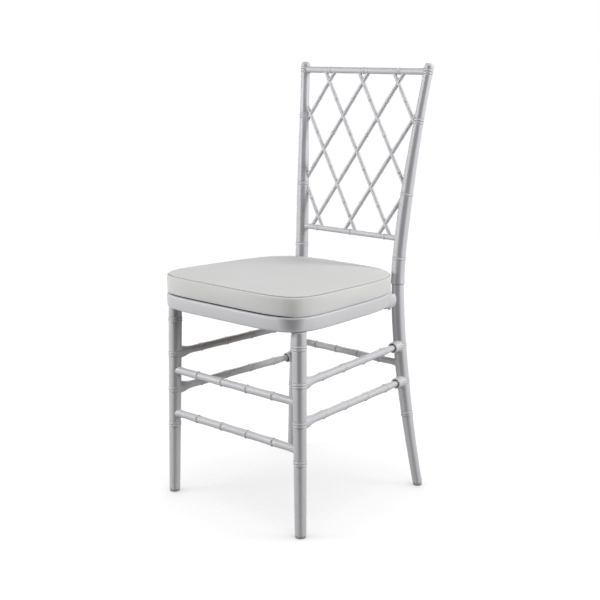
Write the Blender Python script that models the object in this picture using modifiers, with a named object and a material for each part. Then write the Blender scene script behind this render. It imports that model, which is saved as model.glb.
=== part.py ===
"""Lattice back side chair: turned bamboo-style frame, seat ring, seat board and lift-off cushion.

Metres, +Z up, front of the chair towards -Y, origin on the floor under the middle of the chair.
"""
import math

import bmesh
import bpy
from mathutils import Matrix, Vector

# Fits
CLEARANCE = 0.0003          # gap between pieces that touch
WELD = 0.00002              # points closer than this are one point

# Overall heights
CHAIR_HEIGHT = 0.920
SEAT_TOP = 0.4490           # top of the seat ring
SEAT_RING_HEIGHT = 0.0288

# Front legs
LEG_SIDE_INSET = 0.0175     # leg axis inside the widest line of the seat
LEG_FRONT_INSET = 0.0425    # leg axis behind the foremost line of the seat
LEG_SPLAY_X = 0.0091        # how far the foot stands outside the leg top
LEG_SPLAY_Y = 0.0061
LEG_TOP_RADIUS = 0.0142
LEG_FOOT_RADIUS = 0.0117
LEG_TAPER_HEIGHT = 0.360    # height at which the taper to the foot begins
LEG_TENON_RADIUS = 0.0080
LEG_TENON_LENGTH = 0.0140
LEG_TOP_BEAD_DROP = 0.0326  # first bead group below the seat ring

# Back posts
POST_SIDE_INSET = 0.0550    # narrowest line of the posts inside the widest line of the seat
POST_WAIST_ABOVE_SEAT = 0.0378
POST_TOP_FLARE = 0.0340
POST_TOP_FLARE_POWER = 1.38
POST_FOOT_FLARE = 0.0503
POST_FOOT_FLARE_POWER = 1.40
POST_BEHIND_SEAT = 0.0020   # foremost post axis behind the rear line of the seat
POST_FOREMOST_BELOW_SEAT = 0.0723
POST_TOP_LEAN = 0.0555
POST_TOP_LEAN_POWER = 1.60
POST_FOOT_RAKE = 0.0250
POST_FOOT_RAKE_POWER = 1.83
POST_WAIST_RADIUS = 0.0138
POST_TOP_RADIUS = 0.0100
POST_FOOT_RADIUS = 0.0104
POST_TAPER_ABOVE_SEAT = 0.1312
POST_TAPER_LENGTH = 0.280
POST_FOOT_TAPER_TOP = 0.300
POST_STATION_PITCH = 0.0575
POST_LOW_BEAD_Z = 0.166
POST_SEAT_BEAD_RISE = 0.0602
POST_MID_BEAD_RISE = 0.1977
POST_HIGH_BEAD_RISE = 0.3512
POST_DOME_SHARES = (0.0, 0.5, 0.8, 0.97)    # shares of the rounded top that get a ring of points

# Bead rings on legs and posts
BEAD_HEIGHT = 0.0010
BEAD_WIDTH = 0.0056

# Stretchers
SIDE_STRETCHER_DROP = 0.1073    # upper side stretcher at the front leg, below the seat ring
SIDE_STRETCHER_PITCH = 0.0790
SIDE_STRETCHER_RISE = 0.0060    # higher at the back post
FRONT_STRETCHER_DROP = 0.1438
FRONT_STRETCHER_PITCH = 0.0957
BACK_STRETCHER_DROP = 0.1418
STRETCHER_RADIUS = 0.0082
BACK_STRETCHER_RADIUS = 0.0076
STRETCHER_TENON_RADIUS = 0.0050
STRETCHER_TENON_DEPTH = 0.0085
STRETCHER_KNUCKLES = 4
KNUCKLE_HEIGHT = 0.0010
KNUCKLE_WIDTH = 0.0080
FRONT_FLARE = 0.0012
FRONT_FLARE_LENGTH = 0.030
SIDE_FLARE = 0.0046
SIDE_FLARE_LENGTH = 0.050
FLARE_START = 0.4               # share of a flare that lies inside the leg
FLARE_STATIONS = 4
COLLAR_WALL = 0.0030
COLLAR_REACH = 0.0300           # collar face from the post axis
SOCKET_DEPTH = 0.0140

# Rails and lattice of the back
TOP_RAIL_DROP = 0.0171
TOP_RAIL_RADIUS = 0.0068
LOWER_RAIL_RISE = 0.1024        # above the seat ring
LOWER_RAIL_RADIUS = 0.0058
RAIL_TENON_RADIUS = 0.0040
RAIL_TENON_DEPTH = 0.0060
LATTICE_ROWS = 5
LATTICE_DIAMONDS = 3
LATTICE_TOP_GAP = 0.0245        # top rail to first row of crossings
LATTICE_LOW_GAP = 0.0271        # last row of crossings to lower rail
LATTICE_SIDE_INSET = 0.0101
LATTICE_FIT_PASSES = 40
BAR_RADIUS = 0.0041
BAR_TENON_RADIUS = 0.0024
BAR_TENON_DEPTH = 0.0065
BAR_TENON_ROOT = 0.0030
BAR_KNUCKLE_HEIGHT = 0.0007
BAR_KNUCKLE_WIDTH = 0.0070
BAR_KNUCKLE_MARGIN = 0.25       # share of a span kept plain at the ends of a bar

# Seat, seen from above: a bowed square with soft corners, narrower towards the back
SEAT_HALF_WIDTH = 0.1949
SEAT_HALF_DEPTH = 0.1978
SEAT_MIDDLE_Y = -0.0333
SEAT_TAPER = 0.0592             # share of the half width lost from the middle to the back
SEAT_FRONT_SQUARENESS = 5.50    # 2 gives an oval, more gives squarer corners
SEAT_BACK_SQUARENESS = 3.56
SEAT_SIDE_STEPS = 12
SEAT_RING_WIDTH = 0.0340
SEAT_RING_EDGE = 0.0040
LEDGE_WIDTH = 0.0120
BOARD_THICKNESS = 0.0090
LUG_RADIUS = 0.0080
LUG_ABOVE_RING_FLOOR = 0.0110
LUG_SEATING = 0.0045            # lug end inside the post
LUG_ROOT = 0.0150               # lug inside the ring

# Fasteners
BOLT_RADIUS = 0.0030
BOLT_HEAD_RADIUS = 0.0052
BOLT_HEAD_HEIGHT = 0.0030
BOLT_LENGTH_IN_RING = 0.0160
SCREW_RADIUS = 0.0018
SCREW_HEAD_RADIUS = 0.0038
SCREW_HEAD_HEIGHT = 0.0022
LEG_SCREW_BITE = 0.0220
BOARD_SCREW_BITE = 0.0060
BOARD_SCREW_FRONT_INSET = 0.1391    # behind the foremost line of the seat
BOARD_SCREW_BACK_INSET = 0.1065     # ahead of the rear line of the seat

# Foot glides
GLIDE_HEIGHT = 0.0045
GLIDE_EDGE = 0.0015
GLIDE_INSET = 0.0008
GLIDE_STEM_RADIUS = 0.0030
GLIDE_STEM_LENGTH = 0.0120

# Cushion and what holds it
PAD_THICKNESS = 0.0010
PAD_LENGTH = 0.0400
PAD_WIDTH = 0.0200
PAD_SIDE_INSET = 0.1099     # pad middles inside the widest, foremost and rear lines of the seat
PAD_FRONT_INSET = 0.1241
PAD_BACK_INSET = 0.1115
CUSHION_BASE_THICKNESS = 0.0030
CUSHION_BASE_INSET = 0.0120
CUSHION_INSET = 0.0020
CUSHION_EDGE_HEIGHT = 0.0352
CUSHION_SINK = 0.12             # share of the height lost from the middle to the back
CUSHION_CROWN = 0.0090
CUSHION_DRAW_IN = 0.0025
CUSHION_EDGE_ROUND = 0.0070
CUSHION_CUTS = 7

# Sides of the round pieces
LEG_SIDES = 12
POST_BEVEL_RESOLUTION = 4
STRETCHER_SIDES = 10
BAR_SIDES = 8
BORE_SIDES = 12
SMALL_BORE_SIDES = 8
SMALL_BORE_RADIUS = 0.0040
EDGE_SEGMENTS = 2
EDGE_ANGLE = math.radians(55)   # only edges sharper than this are rounded
SHARP_ANGLE = math.radians(40)
FLAT_ANGLE = math.radians(0.5)
ANCHOR_SIZE = 0.05

# Places and levels that follow from the sizes above
SEAT_FRONT_Y = SEAT_MIDDLE_Y - SEAT_HALF_DEPTH
SEAT_REAR_Y = SEAT_MIDDLE_Y + SEAT_HALF_DEPTH
LEG_TOP_X = SEAT_HALF_WIDTH - LEG_SIDE_INSET
LEG_TOP_Y = SEAT_FRONT_Y + LEG_FRONT_INSET
POST_WAIST_X = SEAT_HALF_WIDTH - POST_SIDE_INSET
POST_FOREMOST_Y = SEAT_REAR_Y + POST_BEHIND_SEAT
BOARD_SCREW_ROWS = (SEAT_FRONT_Y + BOARD_SCREW_FRONT_INSET, SEAT_REAR_Y - BOARD_SCREW_BACK_INSET)
PAD_SIDE = SEAT_HALF_WIDTH - PAD_SIDE_INSET
PAD_ROWS = (SEAT_FRONT_Y + PAD_FRONT_INSET, SEAT_REAR_Y - PAD_BACK_INSET)
RING_FLOOR = SEAT_TOP - SEAT_RING_HEIGHT
LEG_FLOOR = GLIDE_HEIGHT + CLEARANCE
POST_WAIST_Z = SEAT_TOP + POST_WAIST_ABOVE_SEAT
POST_FOREMOST_Z = SEAT_TOP - POST_FOREMOST_BELOW_SEAT
SIDE_UPPER_Z = RING_FLOOR - SIDE_STRETCHER_DROP
SIDE_LOWER_Z = SIDE_UPPER_Z - SIDE_STRETCHER_PITCH
FRONT_UPPER_Z = RING_FLOOR - FRONT_STRETCHER_DROP
FRONT_LOWER_Z = FRONT_UPPER_Z - FRONT_STRETCHER_PITCH
BACK_STRETCHER_Z = RING_FLOOR - BACK_STRETCHER_DROP
TOP_RAIL_Z = CHAIR_HEIGHT - TOP_RAIL_DROP
LOWER_RAIL_Z = SEAT_TOP + LOWER_RAIL_RISE
LUG_Z = RING_FLOOR + LUG_ABOVE_RING_FLOOR
BOARD_BASE = SEAT_TOP - BOARD_THICKNESS - 2 * PAD_THICKNESS - 2 * CLEARANCE
LEDGE_Z = BOARD_BASE - CLEARANCE
HOOK_PAD_BASE = BOARD_BASE + BOARD_THICKNESS + CLEARANCE
LOOP_PAD_BASE = HOOK_PAD_BASE + PAD_THICKNESS + CLEARANCE
CUSHION_BASE_Z = LOOP_PAD_BASE + PAD_THICKNESS + CLEARANCE
CUSHION_Z = CUSHION_BASE_Z + CUSHION_BASE_THICKNESS + CLEARANCE
ROW_TOP_Z = TOP_RAIL_Z - LATTICE_TOP_GAP
ROW_LOW_Z = LOWER_RAIL_Z + LATTICE_LOW_GAP
ROW_PITCH = (ROW_TOP_Z - ROW_LOW_Z) / (LATTICE_ROWS - 1)
TOP_RAIL_ROW = 1 - LATTICE_TOP_GAP / ROW_PITCH
LOWER_RAIL_ROW = LATTICE_ROWS + LATTICE_LOW_GAP / ROW_PITCH

SIDES = {"left": -1, "right": 1}


def clamp(value):
    return min(max(value, 0.0), 1.0)


def smooth_step(value):
    t = clamp(value)
    return t * t * (3 - 2 * t)


def leg_radius(z):
    return LEG_FOOT_RADIUS + (LEG_TOP_RADIUS - LEG_FOOT_RADIUS) * clamp(z / LEG_TAPER_HEIGHT)


def leg_point(side, z):
    share = (RING_FLOOR - z) / RING_FLOOR
    return Vector((side * (LEG_TOP_X + LEG_SPLAY_X * share), LEG_TOP_Y - LEG_SPLAY_Y * share, z))


def post_x(z):
    above = max(z - POST_WAIST_Z, 0.0) / (CHAIR_HEIGHT - POST_WAIST_Z)
    below = max(POST_WAIST_Z - z, 0.0) / POST_WAIST_Z
    return (POST_WAIST_X + POST_TOP_FLARE * above ** POST_TOP_FLARE_POWER
            + POST_FOOT_FLARE * below ** POST_FOOT_FLARE_POWER)


def post_y(z):
    above = max(z - POST_FOREMOST_Z, 0.0) / (CHAIR_HEIGHT - POST_FOREMOST_Z)
    below = max(POST_FOREMOST_Z - z, 0.0) / POST_FOREMOST_Z
    return (POST_FOREMOST_Y + POST_TOP_LEAN * above ** POST_TOP_LEAN_POWER
            + POST_FOOT_RAKE * below ** POST_FOOT_RAKE_POWER)


def post_point(side, z):
    return Vector((side * post_x(z), post_y(z), z))


def post_radius(z):
    thinner_top = smooth_step((z - SEAT_TOP - POST_TAPER_ABOVE_SEAT) / POST_TAPER_LENGTH)
    thinner_foot = smooth_step(1 - z / POST_FOOT_TAPER_TOP)
    return (POST_WAIST_RADIUS - (POST_WAIST_RADIUS - POST_TOP_RADIUS) * thinner_top
            - (POST_WAIST_RADIUS - POST_FOOT_RADIUS) * thinner_foot)


def bead(centre):
    """Stations (height, rise) of one turned ring around a centre height."""
    return [(centre - BEAD_WIDTH / 2, 0.0), (centre, BEAD_HEIGHT), (centre + BEAD_WIDTH / 2, 0.0)]


def twin_bead(centre):
    """Stations of two turned rings side by side."""
    return bead(centre - BEAD_WIDTH / 2) + bead(centre + BEAD_WIDTH / 2)[1:]


LEG_BEADS = [RING_FLOOR - LEG_TOP_BEAD_DROP, SIDE_UPPER_Z, SIDE_LOWER_Z, SIDE_LOWER_Z - SIDE_STRETCHER_PITCH]
POST_BEADS = [SEAT_TOP + POST_SEAT_BEAD_RISE, SEAT_TOP + POST_MID_BEAD_RISE]
POST_TWIN_BEADS = [POST_LOW_BEAD_Z, SEAT_TOP + POST_HIGH_BEAD_RISE, TOP_RAIL_Z]
COLUMN_PITCH = (post_x((ROW_TOP_Z + ROW_LOW_Z) / 2) - LATTICE_SIDE_INSET) / LATTICE_DIAMONDS

# Scene and collections
for old in list(bpy.data.objects):
    bpy.data.objects.remove(old, do_unlink=True)
parts = bpy.data.collections.new("lattice_back_chair")
cutters = bpy.data.collections.new("cutters")
bpy.context.scene.collection.children.link(parts)
bpy.context.scene.collection.children.link(cutters)


def anchor(name, location):
    empty = bpy.data.objects.new(name, None)
    empty.location = location
    empty.empty_display_size = ANCHOR_SIZE
    parts.objects.link(empty)
    return empty


def finish_of(name, colour, roughness, metallic):
    material = bpy.data.materials.new(name)
    material.use_nodes = True
    shader = material.node_tree.nodes["Principled BSDF"]
    shader.inputs["Base Color"].default_value = (*colour, 1.0)
    shader.inputs["Roughness"].default_value = roughness
    shader.inputs["Metallic"].default_value = metallic
    return material


chair = anchor("chair", (0, 0, 0))
cushion_lift = anchor("cushion_lift", (0, 0, CUSHION_BASE_Z))
SILVER = finish_of("silver_lacquer", (0.52, 0.52, 0.55), 0.42, 0.0)
BOARD = finish_of("plywood", (0.55, 0.42, 0.27), 0.65, 0.0)
STEEL = finish_of("zinc_steel", (0.45, 0.45, 0.46), 0.35, 1.0)
GLIDE = finish_of("glide_plastic", (0.09, 0.09, 0.10), 0.55, 0.0)
COVER = finish_of("cushion_cover", (0.60, 0.60, 0.58), 0.60, 0.0)
BLACK_BASE = finish_of("cushion_base_board", (0.02, 0.02, 0.02), 0.75, 0.0)
HOOK_TAPE = finish_of("hook_tape", (0.03, 0.03, 0.03), 0.90, 0.0)


def along(start, end):
    """Placement whose local Z runs from start towards end."""
    turn = (end - start).to_track_quat("Z", "Y").to_matrix().to_4x4()
    return Matrix.Translation(start) @ turn


def place(obj, matrix, material, parent=None):
    parent = parent or chair
    parts.objects.link(obj)
    obj.parent = parent
    obj.matrix_parent_inverse = Matrix.Translation(parent.location).inverted()
    obj.matrix_basis = matrix
    obj.data.materials.clear()
    obj.data.materials.append(material)
    return obj


def as_cutter(obj, matrix):
    cutters.objects.link(obj)
    obj.matrix_basis = matrix
    obj.hide_render = True
    obj.display_type = "WIRE"
    return obj


def turned(name, profile, sides):
    """Round piece from (radius, height) points listed from the top down."""
    mesh = bpy.data.meshes.new(name)
    points = [(radius, 0, height) for radius, height in profile]
    mesh.from_pydata(points, [(i, i + 1) for i in range(len(points) - 1)], [])
    obj = bpy.data.objects.new(name, mesh)
    turn = obj.modifiers.new("Turn", "SCREW")
    turn.steps = sides
    turn.render_steps = sides
    turn.use_merge_vertices = True
    turn.merge_threshold = WELD
    turn.use_smooth_shade = True
    return obj


def shaped(name, fill):
    """Mesh object whose faces come from a function that fills a bmesh."""
    bm = bmesh.new()
    fill(bm)
    mesh = bpy.data.meshes.new(name)
    bm.to_mesh(mesh)
    bm.free()
    return bpy.data.objects.new(name, mesh)


def rod(bm, start, end, radius):
    length = (end - start).length
    sides = SMALL_BORE_SIDES if radius < SMALL_BORE_RADIUS else BORE_SIDES
    middle = along(start, end) @ Matrix.Translation((0, 0, length / 2))
    bmesh.ops.create_cone(bm, cap_ends=True, segments=sides, radius1=radius, radius2=radius,
                          depth=length, matrix=middle)


def block(bm, matrix, size):
    bmesh.ops.create_cube(bm, size=1.0, matrix=matrix @ Matrix.Diagonal((*size, 1)))


def cut(obj, name, cutter):
    modifier = obj.modifiers.new(name, "BOOLEAN")
    modifier.operation = "DIFFERENCE"
    modifier.object = cutter


def join(obj, name, addition):
    modifier = obj.modifiers.new(name, "BOOLEAN")
    modifier.operation = "UNION"
    modifier.object = addition


def rods_cutter(name, rods):
    """Cutter or addition made of rods, each (start, end, radius)."""
    def fill(bm):
        for start, end, radius in rods:
            rod(bm, start, end, radius)
    return as_cutter(shaped(name, fill), Matrix())


def mesh_from_curve(name, curve):
    """Closed mesh of a curve, so that it can be cut and joined."""
    drawn = bpy.data.objects.new(name + "_curve", curve)
    bpy.context.scene.collection.objects.link(drawn)
    solid = drawn.evaluated_get(bpy.context.evaluated_depsgraph_get())
    mesh = bpy.data.meshes.new_from_object(solid)
    mesh.name = name
    bpy.data.objects.remove(drawn, do_unlink=True)
    bm = bmesh.new()
    bm.from_mesh(mesh)
    bmesh.ops.remove_doubles(bm, verts=bm.verts, dist=WELD)
    bmesh.ops.recalc_face_normals(bm, faces=bm.faces)
    if curve.dimensions == "2D":
        bmesh.ops.dissolve_limit(bm, angle_limit=FLAT_ANGLE, verts=bm.verts, edges=bm.edges)
    bm.to_mesh(mesh)
    bm.free()
    mesh.shade_smooth()
    mesh.set_sharp_from_angle(angle=SHARP_ANGLE)
    return bpy.data.objects.new(name, mesh)


def plate(name, outline, thickness):
    """Flat piece of a closed outline, from local z = 0 up."""
    curve = bpy.data.curves.new(name, "CURVE")
    curve.dimensions = "2D"
    curve.fill_mode = "BOTH"
    curve.extrude = thickness / 2
    spline = curve.splines.new("POLY")
    spline.points.add(len(outline) - 1)
    for point, place_2d in zip(spline.points, outline):
        point.co = (place_2d.x, place_2d.y, 0, 1)
    spline.use_cyclic_u = True
    obj = mesh_from_curve(name, curve)
    obj.data.transform(Matrix.Translation((0, 0, thickness / 2)))
    return obj


def seat_squareness(back):
    return SEAT_FRONT_SQUARENESS if back < 0 else SEAT_BACK_SQUARENESS


def seat_plan(u, v, inset):
    """Plan position for u and v from -1 to 1, which reach the rim of the seat moved inwards by inset."""
    power = seat_squareness(v)
    spread = (abs(u) ** power + abs(v) ** power) ** (1 / power)
    draw = max(abs(u), abs(v)) / spread if spread else 1.0
    across, back = u * draw, v * draw
    return Vector(((SEAT_HALF_WIDTH - inset) * across * (1 - SEAT_TAPER * back),
                   SEAT_MIDDLE_Y + (SEAT_HALF_DEPTH - inset) * back))


def bunched(share):
    """Share from -1 to 1 with its steps bunched towards the ends, where the corners turn."""
    return math.sin(share * math.pi / 2)


def seat_outline(inset):
    """Plan of the seat, moved inwards by inset, as points around its rim."""
    runs = [bunched(2 * step / SEAT_SIDE_STEPS - 1) for step in range(SEAT_SIDE_STEPS)]
    rim = [(run, -1) for run in runs] + [(1, run) for run in runs]
    rim += [(-run, 1) for run in runs] + [(-1, -run) for run in runs]
    return [seat_plan(u, v, inset) for u, v in rim]


def seat_side(y, inset):
    """Half width at a depth of the seat plan moved inwards by inset."""
    back = (y - SEAT_MIDDLE_Y) / (SEAT_HALF_DEPTH - inset)
    power = seat_squareness(back)
    across = (1 - abs(back) ** power) ** (1 / power)
    return (SEAT_HALF_WIDTH - inset) * across * (1 - SEAT_TAPER * back)


def seat_rear(x):
    """Depth of the rear edge of the seat plan at a distance from the middle."""
    across = abs(x) / (SEAT_HALF_WIDTH * (1 - SEAT_TAPER))
    back = (1 - across ** SEAT_BACK_SQUARENESS) ** (1 / SEAT_BACK_SQUARENESS)
    return SEAT_MIDDLE_Y + SEAT_HALF_DEPTH * back


# Front legs, their envelope and their holes
def leg_profile(extra, tenon):
    leg_top = RING_FLOOR - CLEARANCE if tenon else RING_FLOOR
    stations = [(leg_top, 0.0), (LEG_TAPER_HEIGHT, 0.0), (LEG_FLOOR, 0.0)]
    for centre in LEG_BEADS:
        stations += twin_bead(centre)
    stations.sort(reverse=True)
    profile = [(leg_radius(z) + rise + extra, z - LEG_FLOOR) for z, rise in stations]
    top, floor = profile[0][1], profile[-1][1]
    if tenon:
        tip = top + LEG_TENON_LENGTH
        head = [(0.0, tip), (LEG_TENON_RADIUS, tip), (LEG_TENON_RADIUS, top)]
    else:
        head = [(0.0, top)]
    return head + profile + [(0.0, floor)]


def leg_matrix(side):
    return along(leg_point(side, LEG_FLOOR), leg_point(side, RING_FLOOR))


def leg_direction(side):
    return (leg_point(side, RING_FLOOR) - leg_point(side, 0)).normalized()


# Paths of the stretchers, from axis to axis of what they join
def stretcher_ends():
    paths = {}
    for level, z in (("upper", FRONT_UPPER_Z), ("lower", FRONT_LOWER_Z)):
        paths["front_stretcher_" + level] = (leg_point(-1, z), leg_point(1, z))
    for name, side in SIDES.items():
        for level, z in (("upper", SIDE_UPPER_Z), ("lower", SIDE_LOWER_Z)):
            ends = (leg_point(side, z), post_point(side, z + SIDE_STRETCHER_RISE))
            paths[f"{name}_side_stretcher_{level}"] = ends
    paths["back_stretcher"] = (post_point(-1, BACK_STRETCHER_Z), post_point(1, BACK_STRETCHER_Z))
    return paths


STRETCHERS = stretcher_ends()


def tenon_rod(axis_point, towards, surface, depth, root, radius):
    """Rod of a tenon: depth below the surface of what it enters, root inside its own piece."""
    direction = (towards - axis_point).normalized()
    return (axis_point + direction * (surface - depth), axis_point + direction * (surface + root), radius)


def mortise_rod(axis_point, towards, surface, depth, radius):
    """Hole for such a tenon, a clearance wider and deeper, open past the surface."""
    direction = (towards - axis_point).normalized()
    reach = surface + 2 * radius
    return (axis_point + direction * (surface - depth - CLEARANCE), axis_point + direction * reach,
            radius + CLEARANCE)


def leg_mortises(side):
    holes = []
    for level, z in (("upper", FRONT_UPPER_Z), ("lower", FRONT_LOWER_Z)):
        left, right = STRETCHERS["front_stretcher_" + level]
        near, far = (right, left) if side > 0 else (left, right)
        holes.append(mortise_rod(near, far, leg_radius(z), STRETCHER_TENON_DEPTH, STRETCHER_TENON_RADIUS))
    name = "right" if side > 0 else "left"
    for level, z in (("upper", SIDE_UPPER_Z), ("lower", SIDE_LOWER_Z)):
        near, far = STRETCHERS[f"{name}_side_stretcher_{level}"]
        holes.append(mortise_rod(near, far, leg_radius(z), STRETCHER_TENON_DEPTH, STRETCHER_TENON_RADIUS))
    return holes


def leg_screw_points(side):
    """Head top, head underside and tip of the screw that holds a front leg in the seat ring."""
    direction = leg_direction(side)
    top = leg_point(side, SEAT_TOP - CLEARANCE)
    under = top - direction * SCREW_HEAD_HEIGHT
    tip = leg_point(side, RING_FLOOR + LEG_TENON_LENGTH) - direction * LEG_SCREW_BITE
    return top, under, tip


leg_envelopes = {}
for name, side in SIDES.items():
    envelope = turned(f"{name}_leg_envelope", leg_profile(CLEARANCE, False), LEG_SIDES)
    leg_envelopes[side] = as_cutter(envelope, leg_matrix(side))
    leg = place(turned(f"{name}_front_leg", leg_profile(0.0, True), LEG_SIDES), leg_matrix(side), SILVER)
    cut(leg, "Mortises", rods_cutter(f"{name}_leg_mortises", leg_mortises(side)))
    foot = leg_point(side, LEG_FLOOR)
    stem_top = foot + Vector((0, 0, GLIDE_STEM_LENGTH + CLEARANCE))
    stem_hole = (foot - Vector((0, 0, GLIDE_HEIGHT)), stem_top, GLIDE_STEM_RADIUS + CLEARANCE)
    top, under, tip = leg_screw_points(side)
    screw_hole = (tip - leg_direction(side) * CLEARANCE, top, SCREW_RADIUS + CLEARANCE)
    cut(leg, "Holes", rods_cutter(f"{name}_leg_holes", [stem_hole, screw_hole]))


# Back posts, their collars, envelope and holes
def post_stations():
    count = round(CHAIR_HEIGHT / POST_STATION_PITCH)
    top = CHAIR_HEIGHT - POST_TOP_RADIUS
    plain = [(-POST_STATION_PITCH / 2 + step * POST_STATION_PITCH, 0.0) for step in range(count + 1)]
    ringed = []
    for centre in POST_BEADS:
        ringed += bead(centre)
    for centre in POST_TWIN_BEADS:
        ringed += twin_bead(centre)
    clear_of_rings = [(z, rise) for z, rise in plain
                      if z < top and all(abs(z - other) > BEAD_WIDTH for other, _ in ringed)]
    return sorted(clear_of_rings + [station for station in ringed if station[0] < top])


def post_mesh(name, side, extra):
    rings = [(post_point(side, z), post_radius(z) + rise + extra) for z, rise in post_stations()]
    radius = POST_TOP_RADIUS + extra
    for share in POST_DOME_SHARES:
        z = CHAIR_HEIGHT + extra - radius * (1 - share)
        rings.append((post_point(side, z), radius * math.sqrt(1 - share ** 2)))
    curve = bpy.data.curves.new(name, "CURVE")
    curve.dimensions = "3D"
    curve.bevel_depth = POST_WAIST_RADIUS
    curve.bevel_resolution = POST_BEVEL_RESOLUTION
    curve.use_fill_caps = True
    spline = curve.splines.new("POLY")
    spline.points.add(len(rings) - 1)
    for point, (centre, radius) in zip(spline.points, rings):
        point.co = (*centre, 1)
        point.radius = radius / POST_WAIST_RADIUS
    return mesh_from_curve(name, curve)


def lattice_point(column, row):
    """Point of the lattice plane, which leans from the lower rail to the top rail."""
    z = ROW_TOP_Z - (row - 1) * ROW_PITCH
    lean = (z - LOWER_RAIL_Z) / (TOP_RAIL_Z - LOWER_RAIL_Z)
    y = post_y(LOWER_RAIL_Z) + (post_y(TOP_RAIL_Z) - post_y(LOWER_RAIL_Z)) * lean
    return Vector((column * COLUMN_PITCH, y, z))


def bar_point(bar, row):
    hand, offset = bar
    return lattice_point(hand * (row + offset), row)


def row_at_post(offset, side):
    """Row at which a falling bar meets the axis of the post on a side."""
    row = LATTICE_ROWS / 2
    for _ in range(LATTICE_FIT_PASSES):
        z = ROW_TOP_Z - (row - 1) * ROW_PITCH
        row = side * post_x(z) / COLUMN_PITCH - offset
    return row


def bar_rows(bar):
    """First and last row of a bar, and whether each end is on a post."""
    _, offset = bar
    first, last = row_at_post(offset, -1), row_at_post(offset, 1)
    starts_on_post, ends_on_post = first > TOP_RAIL_ROW, last < LOWER_RAIL_ROW
    return (max(first, TOP_RAIL_ROW), starts_on_post), (min(last, LOWER_RAIL_ROW), ends_on_post)


BAR_OFFSETS = range(-LATTICE_DIAMONDS - LATTICE_ROWS + 1, LATTICE_DIAMONDS - 1, 2)
BARS = [(hand, offset) for hand in (1, -1) for offset in BAR_OFFSETS]


def bar_end(bar, end):
    """Axis point, a point further along the bar, and the run from the axis to the surface."""
    rows = bar_rows(bar)
    row, on_post = rows[end]
    axis_point, other = bar_point(bar, row), bar_point(bar, rows[1 - end][0])
    direction = (other - axis_point).normalized()
    if on_post:
        carrier = (post_point(1, axis_point.z + BAR_RADIUS) - post_point(1, axis_point.z)).normalized()
        carrier.x *= math.copysign(1, axis_point.x)
        radius = post_radius(axis_point.z)
    else:
        carrier = Vector((1, 0, 0))
        radius = TOP_RAIL_RADIUS if end == 0 else LOWER_RAIL_RADIUS
    return axis_point, other, radius / direction.cross(carrier).length


def post_side_of(bar, end):
    """Side of the post that a bar end enters, or 0 on a rail."""
    row, on_post = bar_rows(bar)[end]
    return int(math.copysign(1, bar_point(bar, row).x)) if on_post else 0


def bar_mortises(wanted):
    return [mortise_rod(*bar_end(bar, end), BAR_TENON_DEPTH, BAR_TENON_RADIUS)
            for bar in BARS for end in (0, 1) if wanted(bar, end)]


def rail_ends(z):
    return post_point(-1, z), post_point(1, z)


def side_collars(side):
    """Axis of each stretcher collar, from the post axis to the collar face."""
    name = "right" if side > 0 else "left"
    runs = []
    for level in ("upper", "lower"):
        leg_end, post_end = STRETCHERS[f"{name}_side_stretcher_{level}"]
        runs.append((post_end, (leg_end - post_end).normalized()))
    return runs


def post_mortises(side):
    holes = []
    for axis_point, direction in side_collars(side):
        floor = axis_point + direction * (COLLAR_REACH - SOCKET_DEPTH)
        mouth = axis_point + direction * (COLLAR_REACH + SOCKET_DEPTH)
        holes.append((floor, mouth, STRETCHER_RADIUS + CLEARANCE))
    left, right = STRETCHERS["back_stretcher"]
    near, far = (right, left) if side > 0 else (left, right)
    holes.append(mortise_rod(near, far, post_radius(near.z), STRETCHER_TENON_DEPTH, STRETCHER_TENON_RADIUS))
    for z in (TOP_RAIL_Z, LOWER_RAIL_Z):
        left, right = rail_ends(z)
        near, far = (right, left) if side > 0 else (left, right)
        holes.append(mortise_rod(near, far, post_radius(z), RAIL_TENON_DEPTH, RAIL_TENON_RADIUS))
    return holes + bar_mortises(lambda bar, end: post_side_of(bar, end) == side)


def lug_ends(side):
    """Root, tip and far side of the line of a seat lug, straight back into the post."""
    axis = post_point(side, LUG_Z)
    radius = post_radius(LUG_Z)
    root = Vector((axis.x, seat_rear(axis.x) - LUG_ROOT, LUG_Z))
    tip = Vector((axis.x, axis.y - radius + LUG_SEATING, LUG_Z))
    behind = Vector((axis.x, axis.y + radius, LUG_Z))
    return root, tip, behind


def bolt_points(side):
    """Outer end of the head, underside of the head and tip of a seat bolt."""
    _, _, behind = lug_ends(side)
    under = behind - Vector((0, BOLT_HEAD_HEIGHT, 0))
    tip = Vector((behind.x, seat_rear(behind.x) - BOLT_LENGTH_IN_RING, LUG_Z))
    return behind, under, tip


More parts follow.
